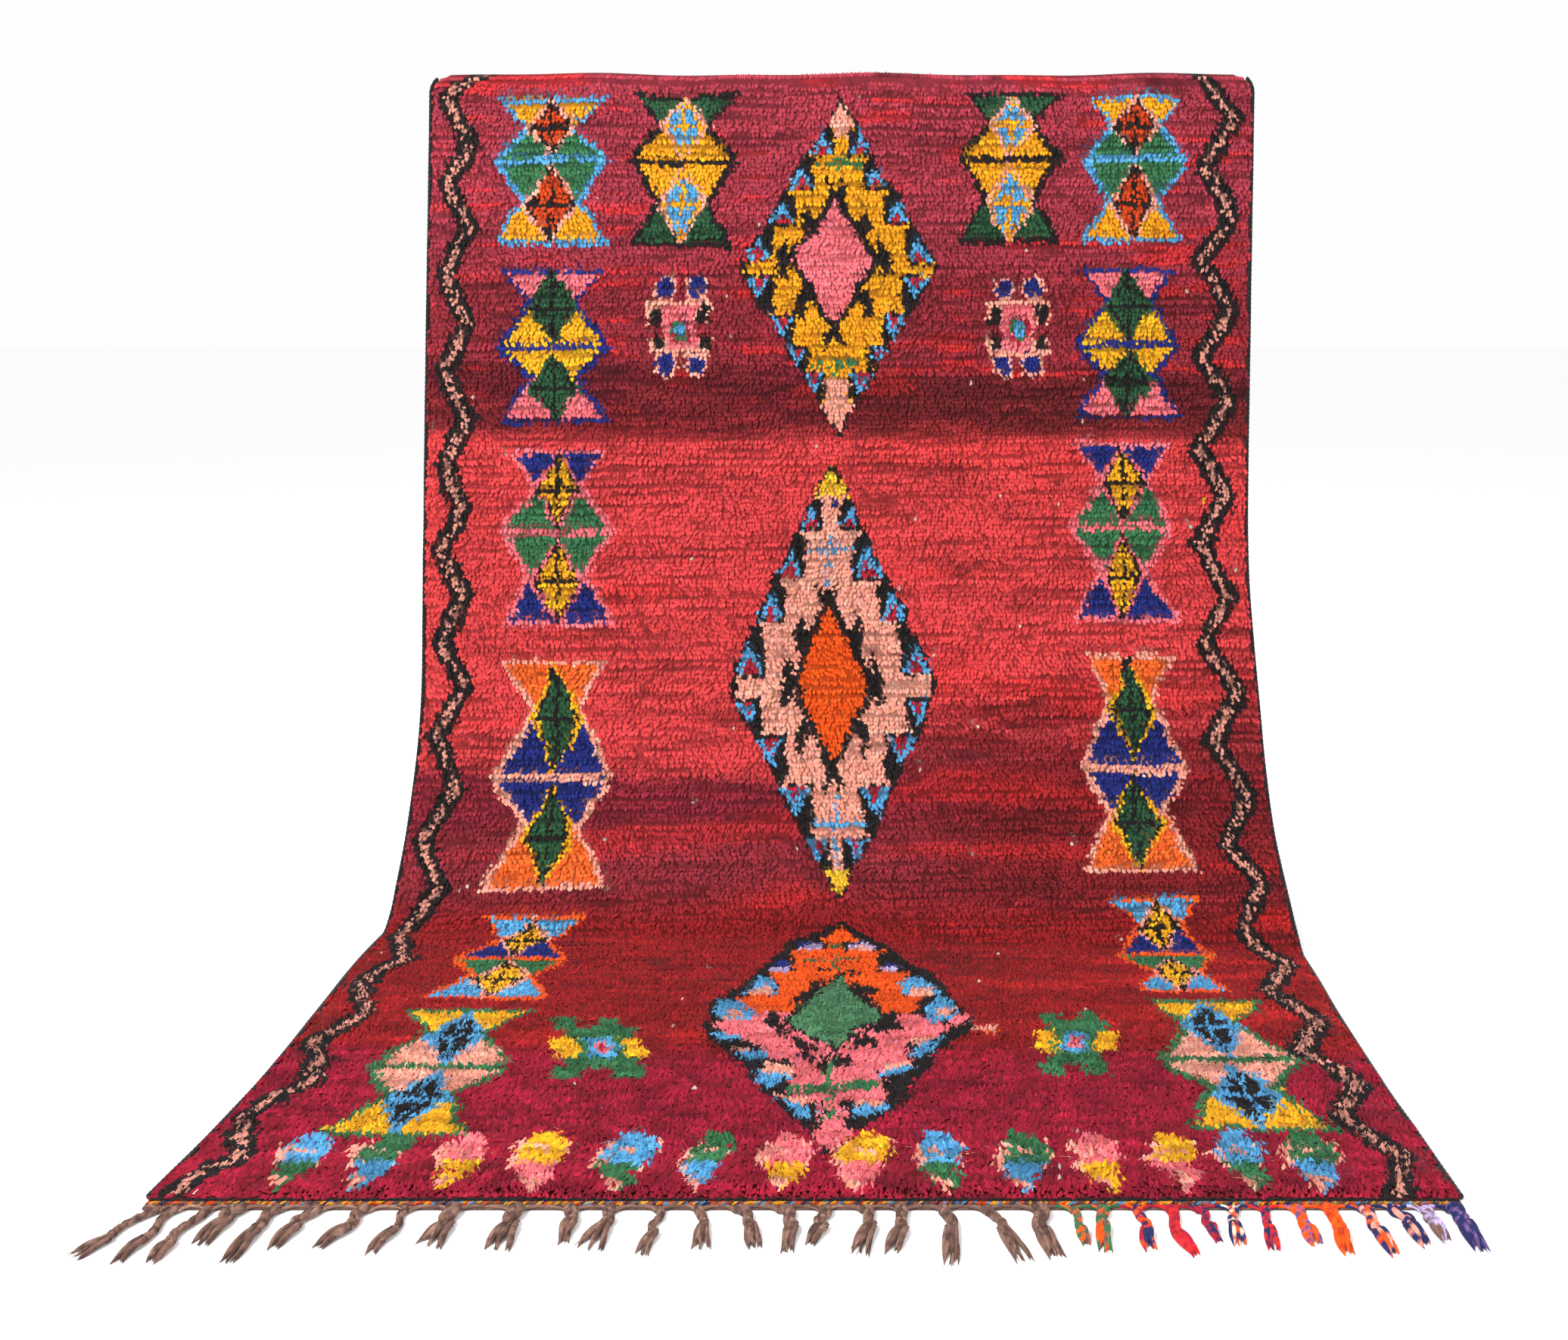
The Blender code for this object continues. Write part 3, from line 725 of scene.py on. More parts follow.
# Hourglasses down the rug: the waist's place, the yarns as hourglass() names them, and for the
# left and the right one its top and bottom, each (left, right, down) in centimetres
GLASSES = (
    (
        0.43,
        "light_blue gold green green rust black salmon",
        ((-75.6, -52.0, 4.0), (-76.0, -51.2, 36.3)),
        ((53.6, 75.7, 4.0), (53.1, 75.4, 36.0)),
    ),
    (
        0.44,
        "black dark_green gold gold light_blue gold salmon",
        ((-46.0, -22.8, 3.4), (-46.3, -23.6, 36.8)),
        ((26.4, 48.2, 2.9), (26.1, 48.0, 36.3)),
    ),
    (
        0.51,
        "royal_blue pink yellow yellow dark_green black dark_green",
        ((-74.6, -51.0, 41.8), (-74.2, -50.0, 75.6)),
        ((51.9, 74.6, 41.5), (52.2, 75.0, 74.7)),
    ),
    (
        0.47,
        "pink royal_blue green green yellow black pink",
        ((-72.9, -49.4, 81.4), (-73.5, -48.5, 120.2)),
        ((52.0, 74.0, 79.7), (51.6, 74.4, 119.5)),
    ),
    (
        0.51,
        "salmon tangerine royal_blue royal_blue dark_green black yellow",
        ((-73.3, -50.3, 127.5), (-73.2, -47.0, 177.2)),
        ((53.1, 73.5, 126.3), (49.8, 73.8, 174.2)),
    ),
    (
        0.48,
        "orange light_blue royal_blue green yellow black salmon",
        ((-71.1, -50.3, 182.2), (-73.2, -49.5, 217.5)),
        ((54.1, 73.0, 179.7), (56.1, 73.2, 212.0)),
    ),
    (
        0.50,
        "green yellow salmon salmon black light_blue light_blue",
        ((-73.7, -51.4, 221.6), (-73.7, -51.4, 264.0)),
        ((56.3, 78.2, 215.3), (56.3, 78.2, 260.8)),
    ),
)


def weave_chart(chart):
    """All the motifs of the rug, from the top edge to the end."""
    for waist, dyes, *sides in GLASSES:
        for top, bottom in sides:
            hourglass(chart, waist, dyes, top, bottom)

    first = medallion(
        chart,
        ((-0.3, 4.4), (21.9, 41.2), (0.0, 78.6), (-22.2, 41.2)),
        ((0.83, 0.655, 0.455, 0.245, 0.02), (0.80, 0.615, 0.46, 0.275, 0.045)),
        ((0.0, 26.5), (7.3, 39.8), (-0.8, 54.4), (-9.6, 39.8)),
        "salmon",
        "gold",
        "pink",
    )
    chart.fill(first((-0.09, -0.83), (0.09, -0.83), (0.08, -0.76), (-0.08, -0.76)), "salmon")
    chart.stroke(first((-0.22, -0.61), (0.22, -0.61)), 1.5, "green", share=0.9)
    chart.stroke(first((0, -0.66), (0, -0.55)), 1.0, "green", share=0.6)
    chart.stroke(first((-0.14, -0.5), (0.08, -0.5)), 0.9, "black", share=0.6)
    chart.stroke(first((-0.25, 0.575), (0.22, 0.575)), 1.1, "green", share=0.6)
    chart.stroke(first((-0.02, 0.51), (-0.02, 0.64)), 1.1, "green", share=0.6)
    chart.fill(first((-0.12, 0.68), (0.10, 0.68), (0.09, 0.82), (-0.10, 0.82)), "salmon")

    second = medallion(
        chart,
        ((-0.9, 83.4), (21.7, 132.6), (0.0, 180.8), (-24.5, 132.6)),
        ((0.825, 0.675, 0.46, 0.264, 0.035), (0.85, 0.685, 0.45, 0.225, 0.065)),
        ((-0.9, 115.6), (5.9, 132.6), (-2.3, 150.5), (-9.5, 132.6)),
        "lemon",
        "salmon",
        "orange",
    )
    for v, low, high in ((-0.59, -0.67, -0.44), (0.625, 0.46, 0.83)):
        chart.stroke(second((-0.20, v), (0.24, v)), 1.2, "light_blue", share=0.9)
        chart.stroke(second((0.0, low), (0.0, high)), 0.7, "light_blue", share=0.7)
    chart.spot(-0.5, 94.0, 1.4, 1.8, "royal_blue")

    floor_medallion(chart)
    chart.fill([(26.0, 227.0), (30.5, 226.0), (30.0, 229.5), (26.5, 229.0)], "salmon")
    chart.stroke([(27.0, 228.6), (30.5, 228.2)], 1.2, "orange")

    tortoise(chart, -41.4, -28.0, 43.3, 65.8)
    tortoise(chart, 32.8, 46.0, 43.3, 65.8)
    small_star(chart, (-47.9, -31.4, 224.6), (-43.4, -28.2, 246.4))
    small_star(chart, (37.5, 50.7, 220.6), (35.4, 47.5, 243.4))

    centres = (-73.3, -62.2, -50.4, -38.5, -26.4, -14.6, -3.6, 7.5, 18.8, 30.6, 41.4, 52.3, 62.3, 72.1)
    pairs = (("light_blue", "green"), ("green", "light_blue"), ("pink", "yellow"), ("yellow", "pink"))
    for n, x in enumerate(centres):
        upper, lower = pairs[n % 4] if n < 12 else pairs[n % 2]
        border_lozenge(chart, n, x, 271.0 - 2.4 * (x + 73) / 145, upper, lower)

    left_turns = (0, 4, 14, 23, 33, 43, 54, 64, 75, 85, 94, 104, 114, 123, 134, 144, 155, 166, 177)
    left_turns += (188, 199, 211, 223, 235, 247, 259, 270, 279)
    zigzag(chart, -1, -84.0, 2.5, left_turns)
    right_turns = (0, 9, 19, 30, 40, 50, 61, 71, 82, 92, 103, 113, 124, 134, 145, 156, 167, 177, 188)
    right_turns += (200, 211, 223, 235, 246, 257, 268, 279)
    zigzag(chart, 1, 83.0, 3.0, right_turns)
    chart.spot(81.5, 93.0, 1.4, 1.6, "yellow")


def mix(first, second, share):
    share = np.asarray(share)[..., None]
    return first * (1 - share) + second * share


def ground(x, s):
    """Colour of the red ground, in the bands that the dye lots left; the dark band high up also holds
    painted shade.
    """
    s = s + 1.6 * field(11, x, s, 26, 9) + 0.5 * field(12, x, s, 6, 3)
    stops = (
        (0, "rose"),
        (34, "rose"),
        (46, "wine"),
        (64, "wine"),
        (80, "brick"),
        (136, "brick"),
        (150, "wine"),
        (176, "wine"),
        (184, "blood"),
        (232, "blood"),
        (240, "raspberry"),
        (280, "raspberry"),
    )
    places = [stop[0] for stop in stops]
    values = np.array([dye(stop[1]) for stop in stops])
    colour = np.stack([np.interp(s, places, values[:, k]) for k in range(3)], -1)
    streak = field(13, x, s, 15, 1.5)
    fine = field(14, x, s, 9, 0.9)
    broad = field(15, x, s, 34, 4)

    def band(start, end, soft):
        return ease((s - start) / soft + 0.5) * (1 - ease((s - end) / soft + 0.5))

    rightward = ease((x + 12) / 30)
    # The dark band: a dye lot, with the shade of a fold painted into it
    dark = band(63.5 + 2.5 * rightward, 79, 4.5) * ease(1.1 + 0.8 * streak)
    colour = mix(colour, mix(dye("plum") * 0.52, dye("maroon"), 0.40 + 0.60 * rightward), 0.88 * dark)
    colour = mix(colour, dye("scarlet"), 0.55 * band(64.2, 65.4, 1.0) * rightward * ease(0.7 + streak))
    flank = ease((x - 4) / 34)
    sweep = band(137 - 0.12 * x, 152, 6) * flank * ease(0.55 + 1.2 * streak)
    colour = mix(colour, dye("oxblood"), 0.8 * sweep)
    colour = mix(colour, dye("brick"), 0.8 * band(138, 152, 4) * (1 - ease((x + 22) / 26)))
    colour = mix(colour, dye("plum"), 0.9 * band(153, 163, 5) * (1 - 0.85 * flank))
    colour = mix(colour, dye("oxblood"), 0.9 * band(151, 180, 5) * flank)
    colour = mix(colour, dye("scarlet"), 0.55 * ease(2.6 * streak - 1.0) * (1 - ease((s - 58) / 20)))
    colour = mix(colour, dye("scarlet"), 0.30 * ease(2.6 * broad - 1.0) * band(80, 236, 20))
    colour = mix(colour, dye("maroon"), 0.45 * ease(-2.4 * streak - 1.0))
    colour = mix(colour, dye("maroon"), 0.30 * ease(-2.4 * fine - 0.8))
    return colour * (1 + 0.09 * broad[..., None])


# Meshes built from arrays


def make_piece(name, points, faces, colours, material, uvs=None, normals=None, grain=None):
    """A mesh object with smooth shading. faces is an array of equal faces or a list of such arrays."""
    groups = faces if isinstance(faces, list) else [faces]
    corners = np.concatenate([group.ravel() for group in groups]).astype(np.int32)
    sizes = np.concatenate([np.full(len(group), group.shape[1]) for group in groups])
    mesh = bpy.data.meshes.new(name)
    mesh.vertices.add(len(points))
    mesh.vertices.foreach_set("co", np.asarray(points, np.float32).ravel())
    mesh.loops.add(len(corners))
    mesh.loops.foreach_set("vertex_index", corners)
    mesh.polygons.add(len(sizes))
    starts = np.concatenate([[0], np.cumsum(sizes)[:-1]]).astype(np.int32)
    mesh.polygons.foreach_set("loop_start", starts)
    mesh.polygons.foreach_set("use_smooth", np.ones(len(sizes), bool))
    mesh.update(calc_edges=True)
    # The colour on the vertices: the dye, with painted shade and highlight where a piece is given them
    tint = mesh.color_attributes.new("yarn", "FLOAT_COLOR", "POINT")
    full = np.concatenate([np.asarray(colours, np.float32), np.ones((len(points), 1), np.float32)], 1)
    tint.data.foreach_set("color", full.ravel())
    if grain is not None:
        drawn = mesh.attributes.new("grain", "FLOAT_VECTOR", "POINT")
        drawn.data.foreach_set("vector", np.asarray(grain, np.float32).ravel())
    if uvs is not None:
        layer = mesh.uv_layers.new(name="OFBake")
        layer.data.foreach_set("uv", np.asarray(uvs, np.float32)[corners].ravel())
    if normals is not None:
        mesh.normals_split_custom_set_from_vertices(unit(normals).tolist())
    mesh.materials.append(material)
    piece = bpy.data.objects.new(name, mesh)
    bpy.context.collection.objects.link(piece)
    return piece


# Length of one turn of a yarn's spin, and the fineness of its fibres round it and along it
SPIN = 0.045
GRAIN_ROUND = 2.6
GRAIN_ALONG = 90


def ring_quads(rings, sides):
    """Faces of a tube's wall, between rings of points that follow one another."""
    k = np.arange(sides)
    following = (k + 1) % sides
    start = np.arange(rings - 1)[:, None] * sides
    quads = [start + k, start + following, start + sides + following, start + sides + k]
    return np.stack(quads, -1).reshape(-1, 4)


class Skein:
    """Collects tubes of yarn into one mesh."""

    def __init__(self):
        self.points, self.faces, self.colours, self.grain, self.count = [], [], [], [], 0

    def tube(self, path, radii, colours, sides=6):
        """Closed round tube along a path, with a radius and a colour at each of its points."""
        path = np.asarray(path, float)
        radii = np.broadcast_to(np.asarray(radii, float), (len(path),))
        colours = np.broadcast_to(np.asarray(colours, float), (len(path), 3))
        along = unit(np.gradient(path, axis=0))
        up = np.array([0.0, 0.0, 1.0])
        aside = np.cross(along, up)
        aside = np.where(np.linalg.norm(aside, axis=1, keepdims=True) < 1e-3, [1.0, 0, 0], aside)
        aside = unit(aside)
        above = np.cross(aside, along)
        turns = 2 * math.pi * (np.arange(sides) + 0.5) / sides
        around = aside[:, None] * np.cos(turns)[:, None] + above[:, None] * np.sin(turns)[:, None]
        ring = path[:, None] + around * radii[:, None, None]
        caps = np.stack([path[0] - along[0] * radii[0] * 0.5, path[-1] + along[-1] * radii[-1] * 0.5])
        points = np.concatenate([ring.reshape(-1, 3), caps])
        n = len(path)
        k = np.arange(sides)
        following = (k + 1) % sides
        quads = ring_quads(n, sides)
        faces = [quads[:, [0, 2, 1]], quads[:, [0, 3, 2]]]
        first, last = n * sides, n * sides + 1
        faces.append(np.stack([np.full(sides, first), k, following], -1))
        end = (n - 1) * sides
        faces.append(np.stack([np.full(sides, last), end + following, end + k], -1))
        steps = np.linalg.norm(np.diff(path, axis=0), axis=1)
        run = (np.concatenate([[0], np.cumsum(steps)]) + self.count)[:, None]
        twist = turns + 2 * math.pi * run / SPIN
        grain = [GRAIN_ROUND * np.cos(twist), GRAIN_ROUND * np.sin(twist), GRAIN_ALONG * run + 0 * twist]
        grain = np.stack(grain, -1).reshape(-1, 3)
        grain = np.concatenate([grain, grain[[0, -1]]])
        tints = np.concatenate([np.repeat(colours, sides, 0), colours[[0, -1]]])
        self.add(points, np.concatenate(faces), tints, grain)

    def add(self, points, faces, colours, grain):
        self.points.append(points)
        self.faces.append(faces + self.count)
        self.colours.append(colours)
        self.grain.append(grain)
        self.count += len(points)

    def piece(self, name, material):
        points, faces, colours = (np.concatenate(part) for part in (self.points, self.faces, self.colours))
        return make_piece(name, points, faces, colours, material, grain=np.concatenate(self.grain))


# Materials

# Roughness of all the yarns
ROUGH = 0.9


def wool_material(name, fibre, bump, sheen, shade=0.35, knots=None, spun=False):
    """Yarn: each knot's dye as painted on the vertices, with painted shade and highlight in it, broken by
    fine fibres, with a soft sheen and a fibrous relief.

    The fibres follow the spin of a tube, the cells of the knots, or else the object's own space.
    """
    material = bpy.data.materials.new(name)
    material.use_nodes = True
    nodes, links = material.node_tree.nodes, material.node_tree.links
    shader = nodes["Principled BSDF"]

    def add(kind, **values):
        node = nodes.new(kind)
        for key, value in values.items():
            node.inputs[key.replace("_", " ")].default_value = value
        return node

    # The colour on the vertices, painted shade and highlight included
    yarn = nodes.new("ShaderNodeVertexColor")
    yarn.layer_name = "yarn"
    place = nodes.new("ShaderNodeTexCoord")
    fibres = add("ShaderNodeTexNoise", Scale=fibre, Detail=4.0, Roughness=0.65)
    if spun:
        strand = nodes.new("ShaderNodeAttribute")
        strand.attribute_name = "grain"
        links.new(strand.outputs["Vector"], fibres.inputs["Vector"])
    elif knots is None:
        links.new(place.outputs["Object"], fibres.inputs["Vector"])
    else:
        cells = nodes.new("ShaderNodeUVMap")
        cells.uv_map = "OFBake"
        drawn = add("ShaderNodeMapping", Scale=knots)
        links.new(cells.outputs["UV"], drawn.inputs["Vector"])
        links.new(drawn.outputs["Vector"], fibres.inputs["Vector"])
    low, high = 1.0 - shade, 1.0 + shade * 0.7
    tone = add("ShaderNodeMapRange", From_Min=0.3, From_Max=0.7, To_Min=low, To_Max=high)
    links.new(fibres.outputs["Fac"], tone.inputs["Value"])
    blend = nodes.new("ShaderNodeMix")
    blend.data_type = "RGBA"
    blend.blend_type = "MULTIPLY"
    blend.inputs["Factor"].default_value = 1.0
    links.new(yarn.outputs["Color"], blend.inputs["A"])
    links.new(tone.outputs["Result"], blend.inputs["B"])
    links.new(blend.outputs["Result"], shader.inputs["Base Color"])
    rougher = add("ShaderNodeMapRange", To_Min=ROUGH - 0.08, To_Max=ROUGH + 0.08)
    links.new(fibres.outputs["Fac"], rougher.inputs["Value"])
    links.new(rougher.outputs["Result"], shader.inputs["Roughness"])
    relief = add("ShaderNodeBump", Strength=bump, Distance=0.0012)
    links.new(fibres.outputs["Fac"], relief.inputs["Height"])
    links.new(relief.outputs["Normal"], shader.inputs["Normal"])
    shader.inputs["Sheen Weight"].default_value = sheen
    shader.inputs["Sheen Roughness"].default_value = 0.45
    shader.inputs["Specular IOR Level"].default_value = 0.12
    return material


# The pile


def row_shares():
    """Place of each row of knots as a share of the knotted length."""
    share = np.linspace(0, 1, 2001)
    distance, pitch = zip(*ROW_PITCH)
    count = np.cumsum(1 / np.interp(share * distance[-1], distance, pitch))
    count = (count - count[0]) / (count[-1] - count[0])
    return np.interp((np.arange(ROWS) + 0.5) / ROWS, count, share)


def knotted(length):
    """Start and length of the knotted part of the cloth."""
    return 0.002, length - PILE_END - 0.002


def knot_places(cloth):
    """Places of the knots: across, part of the way down, and both in centimetres."""
    across, share = np.meshgrid(-1 + 2 * (np.arange(COLUMNS) + 0.5) / COLUMNS, row_shares())
    length = cloth.length(across)
    start, run = knotted(length)
    down = start + run * share
    return across, down / length, across * WIDTH / 2 / CM, down / CM


def knot_colours(x, s):
    chart = Chart(x, s)
    weave_chart(chart)
    rng = np.random.default_rng(SEED + 1)
    colour = ground(x, s)
    worked = chart.yarn >= 0
    colour[worked] = DYE_VALUES[chart.yarn[worked]]
    stray = rng.random(x.shape) < 0.0009
    colour[stray & ~worked] = dye("cream") * 0.75
    value = np.exp(rng.normal(0, 0.15, x.shape)) * (1 + 0.06 * rng.normal(0, 1, (len(x), 1)))
    warmth = rng.normal(0, 0.05, x.shape)
    colour = colour * value[..., None]
    colour[..., 0] *= 1 + warmth * 0.4
    colour[..., 2] *= 1 - warmth
    return np.clip(colour, 0.002, 0.95), worked


def length_left(cloth, across, part):
    """Distance to the end of the cloth."""
    return cloth.length(across) * (1 - part)


# A knot's lobe of yarn in metres: its size on the wall, and what the shaggy pile on the floor adds
LOBE_LENGTH, SHAGGY_LENGTH, WILD_LENGTH = 0.0192, 0.0026, 0.0016
LOBE_HEIGHT, SHAGGY_HEIGHT = 0.0118, 0.0020
LOBE_HALF_WIDTH, SHAGGY_SLIMMER, TOP_HALF_WIDTH = 0.0041, 0.0006, 0.0046
LOBE_SINK, SHAGGY_SINK = 0.0020, 0.0026
LOBE_THICK = 0.0016
LOBE_ROOT = 0.0035
# The pile's sides stay inside this distance from the middle line, and its ridges are this far apart
PILE_EDGE = 90.2
RIDGE_PITCH = 2.2
# Where the pile turns shaggy and then wild, in centimetres down, and the stretch that it takes
SHAGGY_START, SHAGGY_STRETCH = 176, 66
WILD_START, WILD_STRETCH = 222, 22
# Triangles of a lobe: its points are the root, the left side, the back, the right side and the tip
LOBE_FACES = ((0, 1, 2), (0, 2, 3), (0, 3, 1), (4, 2, 1), (4, 3, 2), (4, 1, 3))


def bands(*layers):
    """Layers for each knot's points, with the points as the last axis but one."""
    return np.stack(layers, axis=-2)


def make_pile(cloth, material, across, part, x, s, colour):
    """Lobes of yarn, one for each knot, in five pieces down the rug."""
    rng = np.random.default_rng(SEED + 2)
    place, down, right, out = cloth.frames(across, part)
    jitter = rng.normal(0, 1, (*x.shape, 5))
    wave = 0.0020 * field(21, x, s, 11, 5) + 0.0008 * field(22, x, s, 3, 3)
    place = place + down * (wave + 0.0006 * jitter[..., 0])[..., None]
    place = place + right * (0.0008 * jitter[..., 1])[..., None]
    shaggy = ease((s - SHAGGY_START) / SHAGGY_STRETCH)
    wild = ease((s - WILD_START) / WILD_STRETCH)
    nap = 0.50 * field(23, x, s, 9, 4) + 0.32 * field(24, x, s, 2.6, 1.6) + 0.20 * jitter[..., 2]
    nap = nap * (1 + 0.5 * shaggy)
    length = LOBE_LENGTH + SHAGGY_LENGTH * shaggy + WILD_LENGTH * wild
    length = length * (1 + 0.10 * jitter[..., 3])
    near_end = ease((length_left(cloth, across, part) - 0.006) / 0.03)
    length = np.clip(length, 0.011, 0.028) * (0.62 + 0.38 * near_end)
    room = (PILE_EDGE - np.abs(x)) * CM / length
    outward = np.minimum(np.sin(nap) * np.sign(x), room)
    nap = np.arcsin(np.clip(outward, -1, 1)) * np.sign(x)
    nap[0] = math.pi + 0.35 * nap[0]
    length[0] = s[1] * CM + 0.0010
    place[0] = place[1]
    lay = unit(down * np.cos(nap)[..., None] + right * np.sin(nap)[..., None])
    side = unit(np.cross(out, lay))
    crease = np.abs(field(25, x, s, 15, 2.0)) + 0.25 * np.abs(field(26, x, s, 4, 1.6))
    furrow = (1 - ease(crease / 0.20)) * (1 - 0.5 * wild)
    ridge = np.sin(2 * math.pi * (s + 0.8 * field(28, x, s, 13, 5)) / RIDGE_PITCH)
    ridged = ease(0.55 + 0.8 * field(29, x, s, 16, 6)) * (1 - 0.75 * shaggy)
    furrow = np.maximum(furrow, ease((-ridge - 0.45) / 0.5) * ridged)
    clump = field(27, x, s, 2.4, 1.6)
    rim = ease(np.minimum(90 - np.abs(x), s) / 4.0)
    tall = (0.70 + 0.30 * rim) * (1 - 0.30 * furrow) * (1 + 0.08 * clump + 0.05 * jitter[..., 4])
    tall = tall * (1 + 0.07 * ridge * ridged)
    wide = (LOBE_HALF_WIDTH - SHAGGY_SLIMMER * shaggy) * (1 + 0.10 * jitter[..., 0])
    wide[0] = TOP_HALF_WIDTH
    height = (LOBE_HEIGHT + SHAGGY_HEIGHT * shaggy) * tall * (0.6 + 0.4 * near_end)

    root = place + out * (LOBE_ROOT - PILE / 2)
    lift = height - LOBE_ROOT + LOBE_SINK
    fullest = 0.70 - 0.20 * shaggy
    fullest[0] = 0.45
    belly = root + lay * (fullest * length)[..., None] + out * lift[..., None]
    sunk = np.clip(0.50 + 0.24 * shaggy + 0.17 * jitter[..., 1], 0.1, 1.05)
    tip = root + lay * length[..., None] + out * (lift * sunk)[..., None]
    flank = side * wide[..., None]
    sunken = belly - out * (LOBE_SINK + SHAGGY_SINK * shaggy)[..., None]
    points = bands(root, sunken - flank, belly + out * LOBE_THICK, sunken + flank, tip)
    bent = side * 0.95
    normals = bands(out - lay * 0.4, out - bent, out, out + bent, out * 0.7 + lay * 0.6)
    # Painted shade: the colour is darkened in the furrows, in the troughs of the ridges and in the creases
    # between the clumps on the floor; the patches also vary the tone at random
    patch = (0.09 + 0.15 * shaggy) * field(36, x, s, 3.2, 1.7) + 0.06 * field(37, x, s, 7, 2.2)
    patch = np.exp(patch + 0.10 * shaggy * field(39, x, s, 1.2, 0.8))
    patch = patch * (1 - 0.42 * shaggy * (1 - ease(np.abs(field(40, x, s, 5, 2.4)) / 0.40)))
    patch = patch * (1 + 0.06 * shaggy)
    shade = ((1 - 0.70 * furrow) * patch)[..., None]
    # Painted shade and highlight: each lobe is darkest at its root, where shade falls between the lobes,
    # darker on its sides than on its top, and lightest on its top and tip; the light tip also stands for the
    # wool's paler ends
    dark = colour * (0.26 + 0.12 * shaggy)[..., None] * shade
    body = colour * (0.60 + 0.05 * shaggy)[..., None] * shade
    light = np.clip(colour * (0.86 - 0.04 * shaggy)[..., None] * shade + 0.004, 0, 0.97)
    tints = bands(dark, body, light, body, light)
    u = (across + 1) / 2
    half = 0.46 / COLUMNS
    pieces = []
    names = ("pile_top", "pile_upper", "pile_middle", "pile_knee", "pile_floor")
    cuts = np.linspace(0, ROWS, len(names) + 1).astype(int)
    for name, start, end in zip(names, cuts, cuts[1:]):
        block = points[start:end].reshape(-1, 5, 3)
        count = len(block)
        faces = (np.arange(count)[:, None, None] * 5 + np.array(LOBE_FACES)).reshape(-1, 3)
        row = (np.arange(start, end)[:, None] - start + np.zeros((1, COLUMNS))) / (end - start)
        cell = 1.0 / (end - start)
        middle = u[start:end]
        across_uv = [middle, middle - half, middle, middle + half, middle]
        down_uv = [row + share * cell for share in (0.06, 0.42, 0.58, 0.42, 0.94)]
        uvs = np.stack([np.stack(across_uv, -1), 1 - np.stack(down_uv, -1)], -1).reshape(-1, 2)
        colours = tints[start:end].reshape(-1, 3)
        facing = normals[start:end].reshape(-1, 3)
        piece = make_piece(name, block.reshape(-1, 3), faces, colours, material, uvs, facing)
        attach(piece, "root")
        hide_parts("rug_panel")
        pieces.append(piece)
    return pieces


# Loose strands and the foundation

# Number of loose fibres
STRANDS = 8800
# Triangles of a strand: three points at its root and one at its tip
STRAND_FACES = ((0, 2, 1), (0, 1, 3), (1, 2, 3), (2, 0, 3))
# Each strand has its own cell of the UV map, in this many columns
STRAND_COLUMNS = 96


def make_strands(cloth, material, across, part, x, s, colour, worked):
    """Long single fibres that stray over the shaggy end, most of them from the motifs."""
    rng = np.random.default_rng(SEED + 3)
    shaggy = ease((s - 160) / 60)
    inside = (np.abs(x) < 87) & (length_left(cloth, across, part) > 0.03)
    weight = (shaggy * np.where(worked, 1.0, 0.22) + 0.02 * worked) * inside
    chance = (weight / weight.sum()).ravel()
    chosen = rng.choice(x.size, STRANDS, replace=False, p=chance)
    place, down, right, out = (v.reshape(-1, 3)[chosen] for v in cloth.frames(across, part))
    loose = shaggy.ravel()[chosen][:, None]
    turn = rng.normal(0, 0.75, (len(chosen), 1)) * (0.4 + 0.6 * loose)
    lay = unit(down * np.cos(turn) + right * np.sin(turn))
    side = unit(np.cross(out, lay))
    reach = rng.uniform(0.016, 0.030, (len(chosen), 1)) * (0.7 + 0.3 * loose)
    root = place + out * (0.0095 - PILE / 2)
    tip = root + lay * reach + out * rng.uniform(0.0050, 0.0090, (len(chosen), 1))
    wide = rng.uniform(0.0006, 0.0011, (len(chosen), 1))
    points = np.stack([root - side * wide, root + side * wide, root + out * wide * 1.4, tip], 1)
    faces = (np.arange(len(chosen))[:, None, None] * 4 + np.array(STRAND_FACES)).reshape(-1, 3)
    tint = colour.reshape(-1, 3)[chosen] * np.exp(rng.normal(0.05, 0.18, (len(chosen), 1)))
    tint = np.repeat(np.clip(tint, 0, 0.95), 4, 0)
    cell = np.arange(len(chosen))
    corner = np.stack([cell % STRAND_COLUMNS, cell // STRAND_COLUMNS], -1) / STRAND_COLUMNS + 0.001
    uvs = corner[:, None] + np.array([(0, 0), (0.008, 0), (0.0, 0.008), (0.008, 0.008)])[None]
    piece = make_piece("loose_strands", points.reshape(-1, 3), faces, tint, material, uvs.reshape(-1, 2))
    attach(piece, "root")
    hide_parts("rug_panel")
    return piece


FOUNDATION_COLUMNS, FOUNDATION_ROWS = 170, 200


